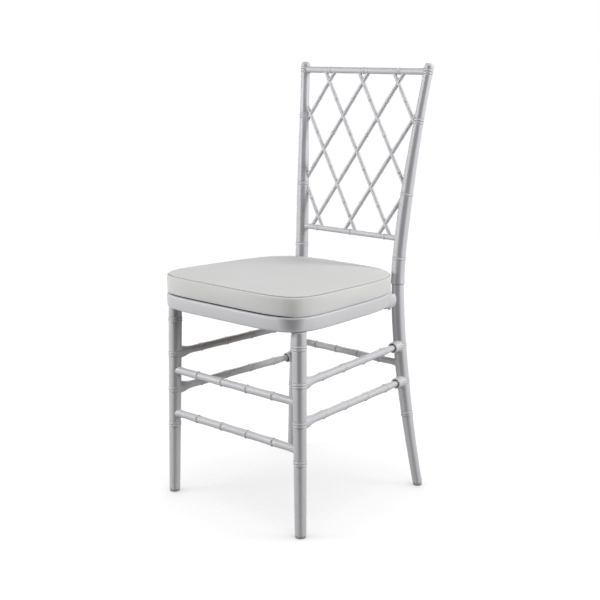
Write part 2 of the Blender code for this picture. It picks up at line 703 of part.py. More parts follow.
post_envelopes = {}
for name, side in SIDES.items():
    post_envelopes[side] = as_cutter(post_mesh(f"{name}_post_envelope", side, CLEARANCE), Matrix())
    post = place(post_mesh(f"{name}_back_post", side, 0.0), Matrix(), SILVER)
    collars = [(start, start + direction * COLLAR_REACH, STRETCHER_RADIUS + CLEARANCE + COLLAR_WALL)
               for start, direction in side_collars(side)]
    join(post, "Collars", rods_cutter(f"{name}_collars", collars))
    cut(post, "Mortises", rods_cutter(f"{name}_post_mortises", post_mortises(side)))
    root, tip, behind = lug_ends(side)
    head, under, bolt_tip = bolt_points(side)
    cut(post, "Lug seat", rods_cutter(f"{name}_lug_seat", [
        (root, tip + Vector((0, CLEARANCE, 0)), LUG_RADIUS + CLEARANCE)]))
    cut(post, "Bolt hole", rods_cutter(f"{name}_post_bolt_hole", [
        (bolt_tip, behind, BOLT_RADIUS + CLEARANCE)]))
    mouth = head + Vector((0, POST_WAIST_RADIUS, 0))
    cut(post, "Head seat", rods_cutter(f"{name}_head_seat", [
        (under - Vector((0, CLEARANCE, 0)), mouth, BOLT_HEAD_RADIUS + CLEARANCE)]))
    foot = post_point(side, LEG_FLOOR)
    below = Vector((foot.x, foot.y, LEG_FLOOR - POST_STATION_PITCH))
    trim = 4 * POST_FOOT_RADIUS

    def fill_trim(bm):
        size = (trim, trim, POST_STATION_PITCH * 2)
        block(bm, Matrix.Translation((foot.x, foot.y, LEG_FLOOR - POST_STATION_PITCH)), size)

    cut(post, "Floor", as_cutter(shaped(f"{name}_post_floor", fill_trim), Matrix()))
    stem_top = foot + Vector((0, 0, GLIDE_STEM_LENGTH + CLEARANCE))
    cut(post, "Stem", rods_cutter(f"{name}_post_stem", [(below, stem_top, GLIDE_STEM_RADIUS + CLEARANCE)]))


# Stretchers
def ridge(middle, width, rise):
    """Stations (run, rise) of one bamboo knuckle."""
    return [(middle - width / 2, 0.0), (middle, rise), (middle + width / 2, 0.0)]


def knuckled(length, radius, start_flare, start_run, end_flare, end_run, first, last):
    """Profile of a stretcher along its axis, with bamboo knuckles and flared ends."""
    stations = [(first, 0.0), (last, 0.0)]
    for flare, run, at, sign in ((start_flare, start_run, 0.0, 1), (end_flare, end_run, length, -1)):
        if flare:
            shares = [FLARE_START + (1 - FLARE_START) * step / (FLARE_STATIONS - 1)
                      for step in range(FLARE_STATIONS)]
            stations += [(at + sign * run * share, 0.0) for share in shares]
    for knuckle in range(1, STRETCHER_KNUCKLES + 1):
        middle = length * knuckle / (STRETCHER_KNUCKLES + 1)
        stations += ridge(middle, KNUCKLE_WIDTH, KNUCKLE_HEIGHT)

    def radius_at(s):
        grown = radius
        if start_flare:
            grown += start_flare * clamp((1 - s / start_run) / (1 - FLARE_START)) ** 2
        if end_flare:
            grown += end_flare * clamp((1 - (length - s) / end_run) / (1 - FLARE_START)) ** 2
        return grown

    stations = sorted((station for station in stations if first <= station[0] <= last), reverse=True)
    profile = [(radius_at(s) + rise, s) for s, rise in stations]
    return [(0.0, last)] + profile + [(0.0, first)]


for name, (start, end) in STRETCHERS.items():
    length = (end - start).length
    side = 1 if name.startswith("right") else -1
    if name.startswith("front"):
        profile = knuckled(length, STRETCHER_RADIUS, FRONT_FLARE, FRONT_FLARE_LENGTH,
                           FRONT_FLARE, FRONT_FLARE_LENGTH, 0.0, length)
        surface = leg_radius(start.z)
        shoulders, ends = [leg_envelopes[-1], leg_envelopes[1]], [(start, end), (end, start)]
    elif name == "back_stretcher":
        profile = knuckled(length, BACK_STRETCHER_RADIUS, 0.0, 0.0, 0.0, 0.0, 0.0, length)
        surface = post_radius(start.z)
        shoulders, ends = [post_envelopes[-1], post_envelopes[1]], [(start, end), (end, start)]
    else:
        last = length - COLLAR_REACH + SOCKET_DEPTH - CLEARANCE
        profile = knuckled(length, STRETCHER_RADIUS, SIDE_FLARE, SIDE_FLARE_LENGTH, 0.0, 0.0, 0.0, last)
        surface = leg_radius(start.z)
        shoulders, ends = [leg_envelopes[side]], [(start, end)]
    stretcher = place(turned(name, profile, STRETCHER_SIDES), along(start, end), SILVER)
    for index, shoulder in enumerate(shoulders):
        cut(stretcher, f"Shoulder {index + 1}", shoulder)
    root = STRETCHER_TENON_RADIUS + KNUCKLE_WIDTH
    rods = [tenon_rod(near, far, surface, STRETCHER_TENON_DEPTH, root, STRETCHER_TENON_RADIUS)
            for near, far in ends]
    join(stretcher, "Tenons", rods_cutter(f"{name}_tenons", rods))


# Rails of the back
def rail_profile(length, radius):
    stations = [(length, 0.0), (0.0, 0.0)]
    for column in range(1 - LATTICE_DIAMONDS, LATTICE_DIAMONDS, 2):
        middle = length / 2 + column * COLUMN_PITCH
        stations += ridge(middle, KNUCKLE_WIDTH, BAR_KNUCKLE_HEIGHT)
    profile = [(radius + rise, s) for s, rise in sorted(stations, reverse=True)]
    return [(0.0, length)] + profile + [(0.0, 0.0)]


rail_envelopes = {}
for index, (name, z, radius) in enumerate((("top_rail", TOP_RAIL_Z, TOP_RAIL_RADIUS),
                                           ("lower_back_rail", LOWER_RAIL_Z, LOWER_RAIL_RADIUS))):
    left, right = rail_ends(z)
    length = (right - left).length
    envelope = turned(f"{name}_envelope", rail_profile(length, radius + CLEARANCE), STRETCHER_SIDES)
    rail_envelopes[index] = as_cutter(envelope, along(left, right))
    rail = place(turned(name, rail_profile(length, radius), STRETCHER_SIDES), along(left, right), SILVER)
    cut(rail, "Left shoulder", post_envelopes[-1])
    cut(rail, "Right shoulder", post_envelopes[1])
    root = RAIL_TENON_RADIUS + KNUCKLE_WIDTH
    rods = [tenon_rod(near, far, post_radius(z), RAIL_TENON_DEPTH, root, RAIL_TENON_RADIUS)
            for near, far in ((left, right), (right, left))]
    join(rail, "Tenons", rods_cutter(f"{name}_tenons", rods))
    holes = bar_mortises(lambda bar, end, index=index: end == index and not bar_rows(bar)[end][1])
    cut(rail, "Lattice mortises", rods_cutter(f"{name}_mortises", holes))


# Lattice bars, half-lapped where they cross
def crossing_rows(bar):
    """Rows at which a bar crosses the bars of the other hand."""
    _, offset = bar
    (first, _), (last, _) = bar_rows(bar)
    rows = [(row, -2 * row - offset) for row in range(1, LATTICE_ROWS + 1)]
    return [(row, other) for row, other in rows if first < row < last and other in BAR_OFFSETS]


def lattice_normal():
    across = lattice_point(1, 1) - lattice_point(0, 1)
    return across.cross(lattice_point(0, 1) - lattice_point(0, 2)).normalized()


def fill_notches(bm, bar):
    """Take away half of the bar at each crossing, behind a falling bar and in front of a rising one."""
    hand, _ = bar
    normal = lattice_normal()
    length, width, depth = 6 * BAR_RADIUS, 2 * (BAR_RADIUS + CLEARANCE), 2 * BAR_RADIUS
    for row, other in crossing_rows(bar):
        crossed = (-hand, other)
        centre = bar_point(bar, row)
        run = (bar_point(crossed, row + 1) - centre).normalized()
        middle = centre - normal * hand * (depth / 2 - CLEARANCE / 2)
        turn = Matrix((run, normal.cross(run), normal)).transposed().to_4x4()
        block(bm, Matrix.Translation(middle) @ turn, (length, width, depth))


def bar_profile(bar):
    (first, _), (last, _) = bar_rows(bar)
    length = (bar_point(bar, last) - bar_point(bar, first)).length
    pitch = length / (last - first)
    stations = [(0.0, 0.0), (length, 0.0)]
    for row in range(1, LATTICE_ROWS):
        middle = (row + 0.5 - first) * pitch
        margin = BAR_KNUCKLE_MARGIN * pitch + BAR_KNUCKLE_WIDTH / 2
        if margin < middle < length - margin:
            stations += ridge(middle, BAR_KNUCKLE_WIDTH, BAR_KNUCKLE_HEIGHT)
    profile = [(BAR_RADIUS + rise, s) for s, rise in sorted(stations, reverse=True)]
    return [(0.0, length)] + profile + [(0.0, 0.0)]


for bar in BARS:
    hand, offset = bar
    number = list(BAR_OFFSETS).index(offset) + 1
    name = f"{'falling' if hand > 0 else 'rising'}_lattice_bar_{number}"
    (first, _), (last, _) = bar_rows(bar)
    placement = along(bar_point(bar, first), bar_point(bar, last))
    lattice_bar = place(turned(name, bar_profile(bar), BAR_SIDES), placement, SILVER)
    for end in (0, 1):
        side = post_side_of(bar, end)
        cut(lattice_bar, f"Shoulder {end + 1}", post_envelopes[side] if side else rail_envelopes[end])
    notches = as_cutter(shaped(f"{name}_notches", lambda bm, bar=bar: fill_notches(bm, bar)), Matrix())
    cut(lattice_bar, "Half laps", notches)
    rods = [tenon_rod(*bar_end(bar, end), BAR_TENON_DEPTH, BAR_TENON_ROOT, BAR_TENON_RADIUS)
            for end in (0, 1)]
    join(lattice_bar, "Tenons", rods_cutter(f"{name}_tenons", rods))

# Seat ring with its ledge, lugs and holes
BOARD_SCREWS = [(side, y) for side in (-1, 1) for y in BOARD_SCREW_ROWS]


def board_screw_points(side, y):
    """Head floor, head top and tip of a screw that rises through the ledge into the seat board."""
    x = side * seat_side(y, SEAT_RING_WIDTH - LEDGE_WIDTH / 2)
    floor = Vector((x, y, RING_FLOOR + CLEARANCE))
    under = floor + Vector((0, 0, SCREW_HEAD_HEIGHT))
    tip = Vector((x, y, BOARD_BASE + BOARD_SCREW_BITE))
    return floor, under, tip


ring = plate("seat_ring", seat_outline(0.0), SEAT_RING_HEIGHT)
place(ring, Matrix.Translation((0, 0, RING_FLOOR)), SILVER)
edge = ring.modifiers.new("Round edges", "BEVEL")
edge.width = SEAT_RING_EDGE
edge.segments = EDGE_SEGMENTS
edge.limit_method = "ANGLE"
edge.angle_limit = EDGE_ANGLE
join(ring, "Lugs", rods_cutter("seat_lugs", [(*lug_ends(side)[:2], LUG_RADIUS) for side in (-1, 1)]))
hollow = plate("seat_hollow", seat_outline(SEAT_RING_WIDTH), 3 * SEAT_RING_HEIGHT)
cut(ring, "Hollow", as_cutter(hollow, Matrix.Translation((0, 0, RING_FLOOR - SEAT_RING_HEIGHT))))
rabbet = plate("seat_rabbet", seat_outline(SEAT_RING_WIDTH - LEDGE_WIDTH), SEAT_RING_HEIGHT)
cut(ring, "Rabbet", as_cutter(rabbet, Matrix.Translation((0, 0, LEDGE_Z))))
ring_holes, ring_heads = [], []
for side in (-1, 1):
    below = leg_point(side, RING_FLOOR) - leg_direction(side) * LEG_TENON_LENGTH
    crest = leg_point(side, RING_FLOOR + LEG_TENON_LENGTH)
    ring_holes.append((below, crest, LEG_TENON_RADIUS + CLEARANCE))
    head, under, tip = bolt_points(side)
    ring_holes.append((tip - Vector((0, CLEARANCE, 0)), head, BOLT_RADIUS + CLEARANCE))
    top, under, tip = leg_screw_points(side)
    lift = leg_direction(side) * SCREW_HEAD_HEIGHT
    ring_heads.append((under - leg_direction(side) * CLEARANCE, top + lift, SCREW_HEAD_RADIUS + CLEARANCE))
for side, y in BOARD_SCREWS:
    floor, under, tip = board_screw_points(side, y)
    ring_holes.append((floor - Vector((0, 0, SCREW_HEAD_HEIGHT)), under + Vector((0, 0, CLEARANCE)),
                       SCREW_HEAD_RADIUS + CLEARANCE))
cut(ring, "Holes", rods_cutter("seat_ring_holes", ring_holes))
cut(ring, "Screw heads", rods_cutter("seat_ring_heads", ring_heads))
shanks = [(leg_screw_points(side)[2], leg_screw_points(side)[0], SCREW_RADIUS + CLEARANCE)
          for side in (-1, 1)]
shanks += [(board_screw_points(side, y)[0], board_screw_points(side, y)[2], SCREW_RADIUS + CLEARANCE)
           for side, y in BOARD_SCREWS]
cut(ring, "Screw shanks", rods_cutter("seat_ring_shanks", shanks))

# Seat board on the ledge, held by screws from below
board = plate("seat_board", seat_outline(SEAT_RING_WIDTH - LEDGE_WIDTH + CLEARANCE), BOARD_THICKNESS)
place(board, Matrix.Translation((0, 0, BOARD_BASE)), BOARD)
bites = [(board_screw_points(side, y)[0], board_screw_points(side, y)[2] + Vector((0, 0, CLEARANCE)),
          SCREW_RADIUS + CLEARANCE) for side, y in BOARD_SCREWS]
cut(board, "Screw holes", rods_cutter("board_screw_holes", bites))


# Screws and bolts, each a head and a shank turned in one
def fastener(name, head_end, under_head, tip, head_radius, shank_radius, material):
    head_height, length = (under_head - head_end).length, (tip - head_end).length
    profile = [(0.0, length), (shank_radius, length), (shank_radius, head_height),
               (head_radius, head_height), (head_radius, 0.0), (0.0, 0.0)]
    return place(turned(name, profile, STRETCHER_SIDES), along(head_end, tip), material)


for name, side in SIDES.items():
    fastener(f"{name}_seat_bolt", *bolt_points(side), BOLT_HEAD_RADIUS, BOLT_RADIUS, STEEL)
    fastener(f"{name}_leg_screw", *leg_screw_points(side), SCREW_HEAD_RADIUS, SCREW_RADIUS, STEEL)
for number, (side, y) in enumerate(BOARD_SCREWS, 1):
    fastener(f"board_screw_{number}", *board_screw_points(side, y), SCREW_HEAD_RADIUS, SCREW_RADIUS, STEEL)


# Foot glides, a rounded disc on a stem
def glide(name, foot, foot_radius):
    radius = foot_radius - GLIDE_INSET
    stem_top = GLIDE_HEIGHT + GLIDE_STEM_LENGTH
    profile = [(0.0, stem_top), (GLIDE_STEM_RADIUS, stem_top), (GLIDE_STEM_RADIUS, GLIDE_HEIGHT),
               (radius, GLIDE_HEIGHT), (radius, GLIDE_EDGE), (radius - GLIDE_EDGE, 0.0), (0.0, 0.0)]
    place(turned(name, profile, LEG_SIDES), Matrix.Translation((foot.x, foot.y, 0)), GLIDE)


for name, side in SIDES.items():
    glide(f"{name}_front_glide", leg_point(side, LEG_FLOOR), LEG_FOOT_RADIUS)
    glide(f"{name}_back_glide", post_point(side, LEG_FLOOR), POST_FOOT_RADIUS)


# Cushion, its base board and the hook and loop pads
def fill_cushion(bm):
    """Cube cut into a grid, then shaped: crowned top, flat floor, soft edges and sides drawn in."""
    bmesh.ops.create_cube(bm, size=2.0)
    bmesh.ops.subdivide_edges(bm, edges=bm.edges, cuts=CUSHION_CUTS, use_grid_fill=True)
    for vert in bm.verts:
        u, v, w = (bunched(share) for share in vert.co)
        height = CUSHION_EDGE_HEIGHT * (w + 1) / 2
        near_edge = max(CUSHION_EDGE_ROUND - min(height, CUSHION_EDGE_HEIGHT - height), 0.0)
        soft = CUSHION_EDGE_ROUND - math.sqrt(CUSHION_EDGE_ROUND ** 2 - near_edge ** 2)
        waist = CUSHION_DRAW_IN * (1 - w * w) * max(1 - u * u, 1 - v * v)
        plan = seat_plan(u, v, CUSHION_INSET + soft + waist)
        crown = CUSHION_CROWN * (1 - u ** 4) * (1 - v ** 4) * (w + 1) / 2
        back = (plan.y - SEAT_MIDDLE_Y) / SEAT_HALF_DEPTH
        vert.co = (plan.x, plan.y, (height + crown) * (1 - CUSHION_SINK * back))


cushion = place(shaped("cushion", fill_cushion), Matrix.Translation((0, 0, CUSHION_Z)), COVER, cushion_lift)
cushion.data.shade_smooth()
place(plate("cushion_base", seat_outline(CUSHION_BASE_INSET), CUSHION_BASE_THICKNESS),
      Matrix.Translation((0, 0, CUSHION_BASE_Z)), BLACK_BASE, cushion_lift)

pad_places = [(side * PAD_SIDE, y) for side in (-1, 1) for y in PAD_ROWS]
for kind, level, parent in (("hook", HOOK_PAD_BASE, chair), ("loop", LOOP_PAD_BASE, cushion_lift)):
    for number, (x, y) in enumerate(pad_places, 1):
        pad = shaped(f"{kind}_pad_{number}",
                     lambda bm: block(bm, Matrix(), (PAD_LENGTH, PAD_WIDTH, PAD_THICKNESS)))
        place(pad, Matrix.Translation((x, y, level + PAD_THICKNESS / 2)), HOOK_TAPE, parent)
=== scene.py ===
import math

import bmesh
import bpy
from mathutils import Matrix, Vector


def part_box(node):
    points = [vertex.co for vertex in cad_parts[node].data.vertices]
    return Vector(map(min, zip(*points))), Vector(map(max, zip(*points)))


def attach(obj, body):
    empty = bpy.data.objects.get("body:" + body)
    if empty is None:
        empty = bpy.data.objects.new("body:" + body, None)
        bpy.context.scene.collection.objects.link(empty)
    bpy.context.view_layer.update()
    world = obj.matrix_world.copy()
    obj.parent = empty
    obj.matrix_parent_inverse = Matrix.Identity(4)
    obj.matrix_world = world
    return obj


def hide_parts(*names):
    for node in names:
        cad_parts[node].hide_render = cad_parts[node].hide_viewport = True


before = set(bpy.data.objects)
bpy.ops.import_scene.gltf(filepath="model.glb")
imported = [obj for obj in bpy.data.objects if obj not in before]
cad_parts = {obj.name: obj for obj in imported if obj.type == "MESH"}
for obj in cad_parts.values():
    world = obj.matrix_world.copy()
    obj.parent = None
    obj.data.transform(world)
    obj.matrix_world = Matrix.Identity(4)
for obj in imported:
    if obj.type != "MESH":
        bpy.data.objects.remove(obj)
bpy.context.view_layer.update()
print("frame loaded:", len(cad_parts), "nodes")

upAxis = Vector((0, 0, 1))
acrossAxis = Vector((1, 0, 0))
sideNames = {"left": -1, "right": 1}
frameBody, cushionBody = "chair_frame", "lift_off_cushion"


# camera at the photograph's angle
cameraSettings = dict(
    place=(1.6207, -1.7826, 0.9544), aim=(0.0110, -0.0023, 0.4265), lens=69.16, sensor=36.0)


def aimAt(thing, settings):
    thing.location = settings["place"]
    thing.rotation_euler = (Vector(settings["aim"]) - thing.location).to_track_quat("-Z", "Y").to_euler()


def makeCamera(settings):
    data = bpy.data.cameras.new("photoCamera")
    data.lens, data.sensor_width = settings["lens"], settings["sensor"]
    camera = bpy.data.objects.new("photoCamera", data)
    bpy.context.scene.collection.objects.link(camera)
    aimAt(camera, settings)
    bpy.context.scene.camera = camera


makeCamera(cameraSettings)


# node helpers: an input takes a link, a colour or a value
def feed(socket, value):
    if isinstance(value, bpy.types.NodeSocket):
        socket.id_data.links.new(value, socket)
    else:
        socket.default_value = (*value, 1.0) if socket.type == "RGBA" else value


def addNode(tree, kind, feeds=None, **values):
    node = tree.nodes.new(kind)
    for key, value in values.items():
        setattr(node, key, value)
    for label, value in (feeds or {}).items():
        feed(node.inputs[label], value)
    return node


def mathNode(tree, operation, *values, clamp=False):
    feeds = dict(enumerate(values))
    return addNode(tree, "ShaderNodeMath", feeds, operation=operation, use_clamp=clamp).outputs[0]


def rangeNode(tree, value, low, high, newLow, newHigh):
    feeds = {"Value": value, "From Min": low, "From Max": high, "To Min": newLow, "To Max": newHigh}
    return addNode(tree, "ShaderNodeMapRange", feeds).outputs["Result"]


def mixNode(tree, share, first, second, blend="MIX"):
    feeds = {0: share, 6: first, 7: second}       # the colour inputs of this node
    return addNode(tree, "ShaderNodeMix", feeds, data_type="RGBA", blend_type=blend).outputs[2]


def noiseNode(tree, vector, scale, detail):
    feeds = {"Vector": vector, "Scale": scale, "Detail": detail}
    return addNode(tree, "ShaderNodeTexNoise", feeds).outputs[0]


def makeGroup(name, inputs, outputs):
    tree = bpy.data.node_groups.new(name, "ShaderNodeTree")
    for label, kind, value in inputs:
        socket = tree.interface.new_socket(label, in_out="INPUT", socket_type="NodeSocket" + kind)
        if value is not None:
            socket.default_value = value
    for label, kind in outputs:
        tree.interface.new_socket(label, in_out="OUTPUT", socket_type="NodeSocket" + kind)
    return tree, tree.nodes.new("NodeGroupInput").outputs, tree.nodes.new("NodeGroupOutput").inputs


def placeGroup(tree, group, **values):
    return addNode(tree, "ShaderNodeGroup", values, node_tree=group).outputs


# slow change of tone over a surface, with fine specks in it
noiseSpan = (0.35, 0.65)       # part of a noise's range that is used


def makeToneDrift():
    tree, given, result = makeGroup("toneDrift", [
        ("Vector", "Vector", None), ("Colour", "Color", None), ("Drift", "Color", None),
        ("Scale", "Float", 8.0), ("Amount", "Float", 0.3), ("SpeckScale", "Float", 900.0),
        ("SpeckAmount", "Float", 0.1)], [("Colour", "Color"), ("Mask", "Float")])
    shares = []
    for scale, amount, detail in (("Scale", "Amount", 4.0), ("SpeckScale", "SpeckAmount", 1.0)):
        noise = noiseNode(tree, given["Vector"], given[scale], detail)
        used = rangeNode(tree, noise, *noiseSpan, 0.0, 1.0)
        shares.append(mathNode(tree, "MULTIPLY", used, given[amount]))
    share = mathNode(tree, "ADD", *shares, clamp=True)
    feed(result["Colour"], mixNode(tree, share, given["Colour"], given["Drift"]))
    feed(result["Mask"], share)
    return tree


# painted shade in grooves, and crests lighter as part rubbed wear and part painted highlight, from the
# relief that each mesh carries
def makeReliefShade():
    tree, given, result = makeGroup("reliefShade", [
        ("Colour", "Color", None), ("Groove", "Color", None), ("Crest", "Color", None),
        ("Relief", "Float", 0.0), ("GrooveAmount", "Float", 0.6), ("CrestAmount", "Float", 0.2)],
        [("Colour", "Color")])
    down = mathNode(tree, "MULTIPLY", mathNode(tree, "MULTIPLY", given["Relief"], -1.0, clamp=True),
                    given["GrooveAmount"])
    rise = mathNode(tree, "MULTIPLY", mathNode(tree, "MULTIPLY", given["Relief"], 1.0, clamp=True),
                    given["CrestAmount"])
    lifted = mixNode(tree, rise, given["Colour"], given["Crest"])
    feed(result["Colour"], mixNode(tree, down, lifted, given["Groove"]))
    return tree


# fine uneven skin of a paint, plastic or board
def makeFineGrain():
    tree, given, result = makeGroup("fineGrain", [
        ("Vector", "Vector", None), ("Scale", "Float", 400.0), ("Coarse", "Float", 60.0),
        ("CoarseAmount", "Float", 0.4)], [("Height", "Float")])
    fine, coarse = (noiseNode(tree, given["Vector"], given[label], 2.0) for label in ("Scale", "Coarse"))
    slow = mathNode(tree, "MULTIPLY", coarse, given["CoarseAmount"])
    feed(result["Height"], mathNode(tree, "ADD", fine, slow))
    return tree


# plain weave: over and under threads on two axes, on the plane that the surface faces
flatFrom = 0.7       # a face whose normal rises more than this counts as lying flat


def makeThreadWeave():
    tree, given, result = makeGroup("threadWeave", [
        ("Vector", "Vector", None), ("Threads", "Float", 1500.0)], [("Height", "Float"), ("Gap", "Float")])
    normal = addNode(tree, "ShaderNodeNewGeometry").outputs["True Normal"]
    across, along, high = addNode(tree, "ShaderNodeSeparateXYZ", {0: given["Vector"]}).outputs
    rise = addNode(tree, "ShaderNodeSeparateXYZ", {0: normal}).outputs[2]
    flat = mathNode(tree, "GREATER_THAN", mathNode(tree, "ABSOLUTE", rise), flatFrom)
    upright = mathNode(tree, "SUBTRACT", 1.0, flat)

    def wave(lying, standing):
        run = mathNode(tree, "ADD", mathNode(tree, "MULTIPLY", lying, flat),
                       mathNode(tree, "MULTIPLY", standing, upright))
        return mathNode(tree, "SINE", mathNode(tree, "MULTIPLY", run, given["Threads"]))

    around = mathNode(tree, "ADD", across, along)
    cross = mathNode(tree, "MULTIPLY", wave(across, around), wave(along, high))
    feed(result["Height"], cross)
    feed(result["Gap"], mathNode(tree, "SUBTRACT", 1.0, mathNode(tree, "ABSOLUTE", cross)))
    return tree


toneDrift, reliefShade = makeToneDrift(), makeReliefShade()
fineGrain, threadWeave = makeFineGrain(), makeThreadWeave()


def startMaterial(name, settings):
    material = bpy.data.materials.new(name)
    material.use_nodes = True
    tree = material.node_tree
    shader = tree.nodes["Principled BSDF"]
    for label, value in settings["shader"].items():
        feed(shader.inputs[label], value)
    where = addNode(tree, "ShaderNodeTexCoord").outputs["Object"]
    return material, tree, shader, where


def bumpInto(tree, shader, height, strength, distance):
    feeds = {"Height": height, "Strength": strength, "Distance": distance}
    feed(shader.inputs["Normal"], addNode(tree, "ShaderNodeBump", feeds).outputs["Normal"])


# tone of a surface, with painted shade in its grooves and lighter crests where the settings give them
def toneAndColour(tree, where, settings):
    tone = placeGroup(tree, toneDrift, Vector=where, Colour=settings["colour"], Drift=settings["drift"],
                      **settings["tone"])
    if "relief" not in settings:
        return tone, tone["Colour"]
    relief = addNode(tree, "ShaderNodeAttribute", attribute_name="relief").outputs["Fac"]
    shade = placeGroup(tree, reliefShade, Colour=tone["Colour"], Relief=relief, **settings["relief"])
    return tone, shade["Colour"]


# lacquer, board, steel and plastic: tone, roughness that follows it, and a fine grain
skinSettings = dict(
    silverLacquer=dict(
        colour=(0.525, 0.525, 0.546), drift=(0.482, 0.482, 0.502),
        # painted shade where the lacquer faces the eye, standing in for a dark reflection
        paintedShadeFacing=(0.50, 0.50, 0.51), paintedShadeFacingSpan=(0.02, 0.12),
        tone=dict(Scale=9.0, Amount=0.45, SpeckScale=1500.0, SpeckAmount=0.14),
        # Groove is the colour of painted shade in grooves, Crest the lighter colour of crests
        relief=dict(Groove=(0.16, 0.16, 0.17), Crest=(0.70, 0.70, 0.72),
                    GrooveAmount=0.45, CrestAmount=0.20),
        maskSpan=0.8, roughness=(0.52, 0.62), grain=dict(Scale=600.0, Coarse=120.0, CoarseAmount=1.2),
        bump=(0.015, 0.0004), shader={"Metallic": 0.06, "Specular IOR Level": 0.35}),
    seatPlywood=dict(
        colour=(0.62, 0.47, 0.30), drift=(0.46, 0.32, 0.18),
        stretch=(22.0, 1.6, 22.0),       # grain runs front to back
        tone=dict(Scale=2.2, Amount=0.75, SpeckScale=24.0, SpeckAmount=0.35),
        maskSpan=1.0, roughness=(0.52, 0.70), grain=dict(Scale=18.0, Coarse=4.0, CoarseAmount=0.5),
        bump=(0.2, 0.0004), shader={}),
    zincSteel=dict(
        colour=(0.62, 0.62, 0.63), drift=(0.48, 0.48, 0.50),
        tone=dict(Scale=260.0, Amount=0.5, SpeckScale=3000.0, SpeckAmount=0.3),
        # Groove is the colour of painted shade in the socket and threads, Crest the lighter colour of edges
        relief=dict(Groove=(0.06, 0.06, 0.06), Crest=(0.75, 0.75, 0.76),
                    GrooveAmount=0.8, CrestAmount=0.3),
        maskSpan=0.8, roughness=(0.28, 0.42), grain=dict(Scale=2500.0, Coarse=600.0, CoarseAmount=0.5),
        bump=(0.1, 0.0002), shader={"Metallic": 1.0}),
    glidePlastic=dict(
        colour=(0.30, 0.30, 0.31), drift=(0.24, 0.24, 0.25),
        tone=dict(Scale=60.0, Amount=0.5, SpeckScale=1800.0, SpeckAmount=0.4),
        maskSpan=0.9, roughness=(0.42, 0.58), grain=dict(Scale=300.0, Coarse=90.0, CoarseAmount=0.4),
        bump=(0.15, 0.0004), shader={}),
    blackBase=dict(
        colour=(0.020, 0.020, 0.021), drift=(0.032, 0.031, 0.030),
        tone=dict(Scale=60.0, Amount=0.5, SpeckScale=1800.0, SpeckAmount=0.4),
        maskSpan=0.9, roughness=(0.70, 0.85), grain=dict(Scale=700.0, Coarse=90.0, CoarseAmount=0.4),
        bump=(0.4, 0.0004), shader={}))


def makeSkin(name):
    settings = skinSettings[name]
    material, tree, shader, where = startMaterial(name, settings)
    if "stretch" in settings:
        feeds = {"Vector": where, "Scale": settings["stretch"]}
        where = addNode(tree, "ShaderNodeMapping", feeds).outputs[0]
    tone, colour = toneAndColour(tree, where, settings)
    if "paintedShadeFacing" in settings:       # painted shade where it faces the eye, as a dark reflection
        paintedShadeFacing = addNode(tree, "ShaderNodeLayerWeight").outputs["Facing"]
        turned = rangeNode(tree, paintedShadeFacing, *settings["paintedShadeFacingSpan"], 0.0, 1.0)
        paintedFlopShade = mixNode(tree, turned, settings["paintedShadeFacing"], (1.0, 1.0, 1.0))
        colour = mixNode(tree, 1.0, colour, paintedFlopShade, "MULTIPLY")
    feed(shader.inputs["Base Color"], colour)
    rough = rangeNode(tree, tone["Mask"], 0.0, settings["maskSpan"], *settings["roughness"])
    feed(shader.inputs["Roughness"], rough)
    grain = placeGroup(tree, fineGrain, Vector=where, **settings["grain"])
    bumpInto(tree, shader, grain["Height"], *settings["bump"])
    return material


# cover cloth and hook tape: tone, and darker and rougher gaps between threads
wovenSettings = dict(
    cushionCover=dict(
        colour=(0.622, 0.622, 0.619), drift=(0.58, 0.58, 0.573), gap=(0.15, 0.15, 0.148), gapShare=0.10,
        tone=dict(Scale=5.0, Amount=0.5, SpeckScale=1400.0, SpeckAmount=0.25),
        # Groove is the colour of painted shade in the seam, Crest the painted highlight beside it
        relief=dict(Groove=(0.15, 0.15, 0.148), Crest=(0.72, 0.72, 0.71),
                    GrooveAmount=0.8, CrestAmount=0.2),
        threads=2600.0, roughness=(0.72, 0.88), bump=(0.25, 0.0002),
        shader={"Specular IOR Level": 0.15, "Subsurface Weight": 0.5, "Subsurface Radius": (1.0, 1.0, 1.0),
                "Subsurface Scale": 0.030, "Sheen Weight": 0.05, "Sheen Roughness": 0.45}),
    hookTape=dict(
        colour=(0.035, 0.035, 0.037), drift=(0.055, 0.055, 0.058), gap=(0.008, 0.008, 0.008), gapShare=0.5,
        tone=dict(Scale=120.0, Amount=0.5, SpeckScale=2400.0, SpeckAmount=0.5),
        threads=4200.0, roughness=(0.75, 0.95), bump=(0.8, 0.0006), shader={}))


def makeWoven(name):
    settings = wovenSettings[name]
    material, tree, shader, where = startMaterial(name, settings)
    _, colour = toneAndColour(tree, where, settings)
    weave = placeGroup(tree, threadWeave, Vector=where, Threads=settings["threads"])
    between = mathNode(tree, "MULTIPLY", weave["Gap"], settings["gapShare"])
    feed(shader.inputs["Base Color"], mixNode(tree, between, colour, settings["gap"]))
    feed(shader.inputs["Roughness"], rangeNode(tree, weave["Gap"], 0.0, 1.0, *settings["roughness"]))
    bumpInto(tree, shader, weave["Height"], *settings["bump"])
    return material


finishes = {
    "silver_lacquer": makeSkin("silverLacquer"), "plywood": makeSkin("seatPlywood"),
    "zinc_steel": makeSkin("zincSteel"), "glide_plastic": makeSkin("glidePlastic"),
    "cushion_base_board": makeSkin("blackBase"),
    "cushion_cover": makeWoven("cushionCover"), "hook_tape": makeWoven("hookTape")}
print("finishes ready")


# mesh helpers: a shell gathers points, faces and relief, and becomes one piece
def newShell():
    return dict(points=[], faces=[], relief=[])


def smoothStep(share):
    share = min(max(share, 0.0), 1.0)
    return share * share * (3 - 2 * share)


def hump(distance, width):
    return math.exp(-(distance / width) ** 2)


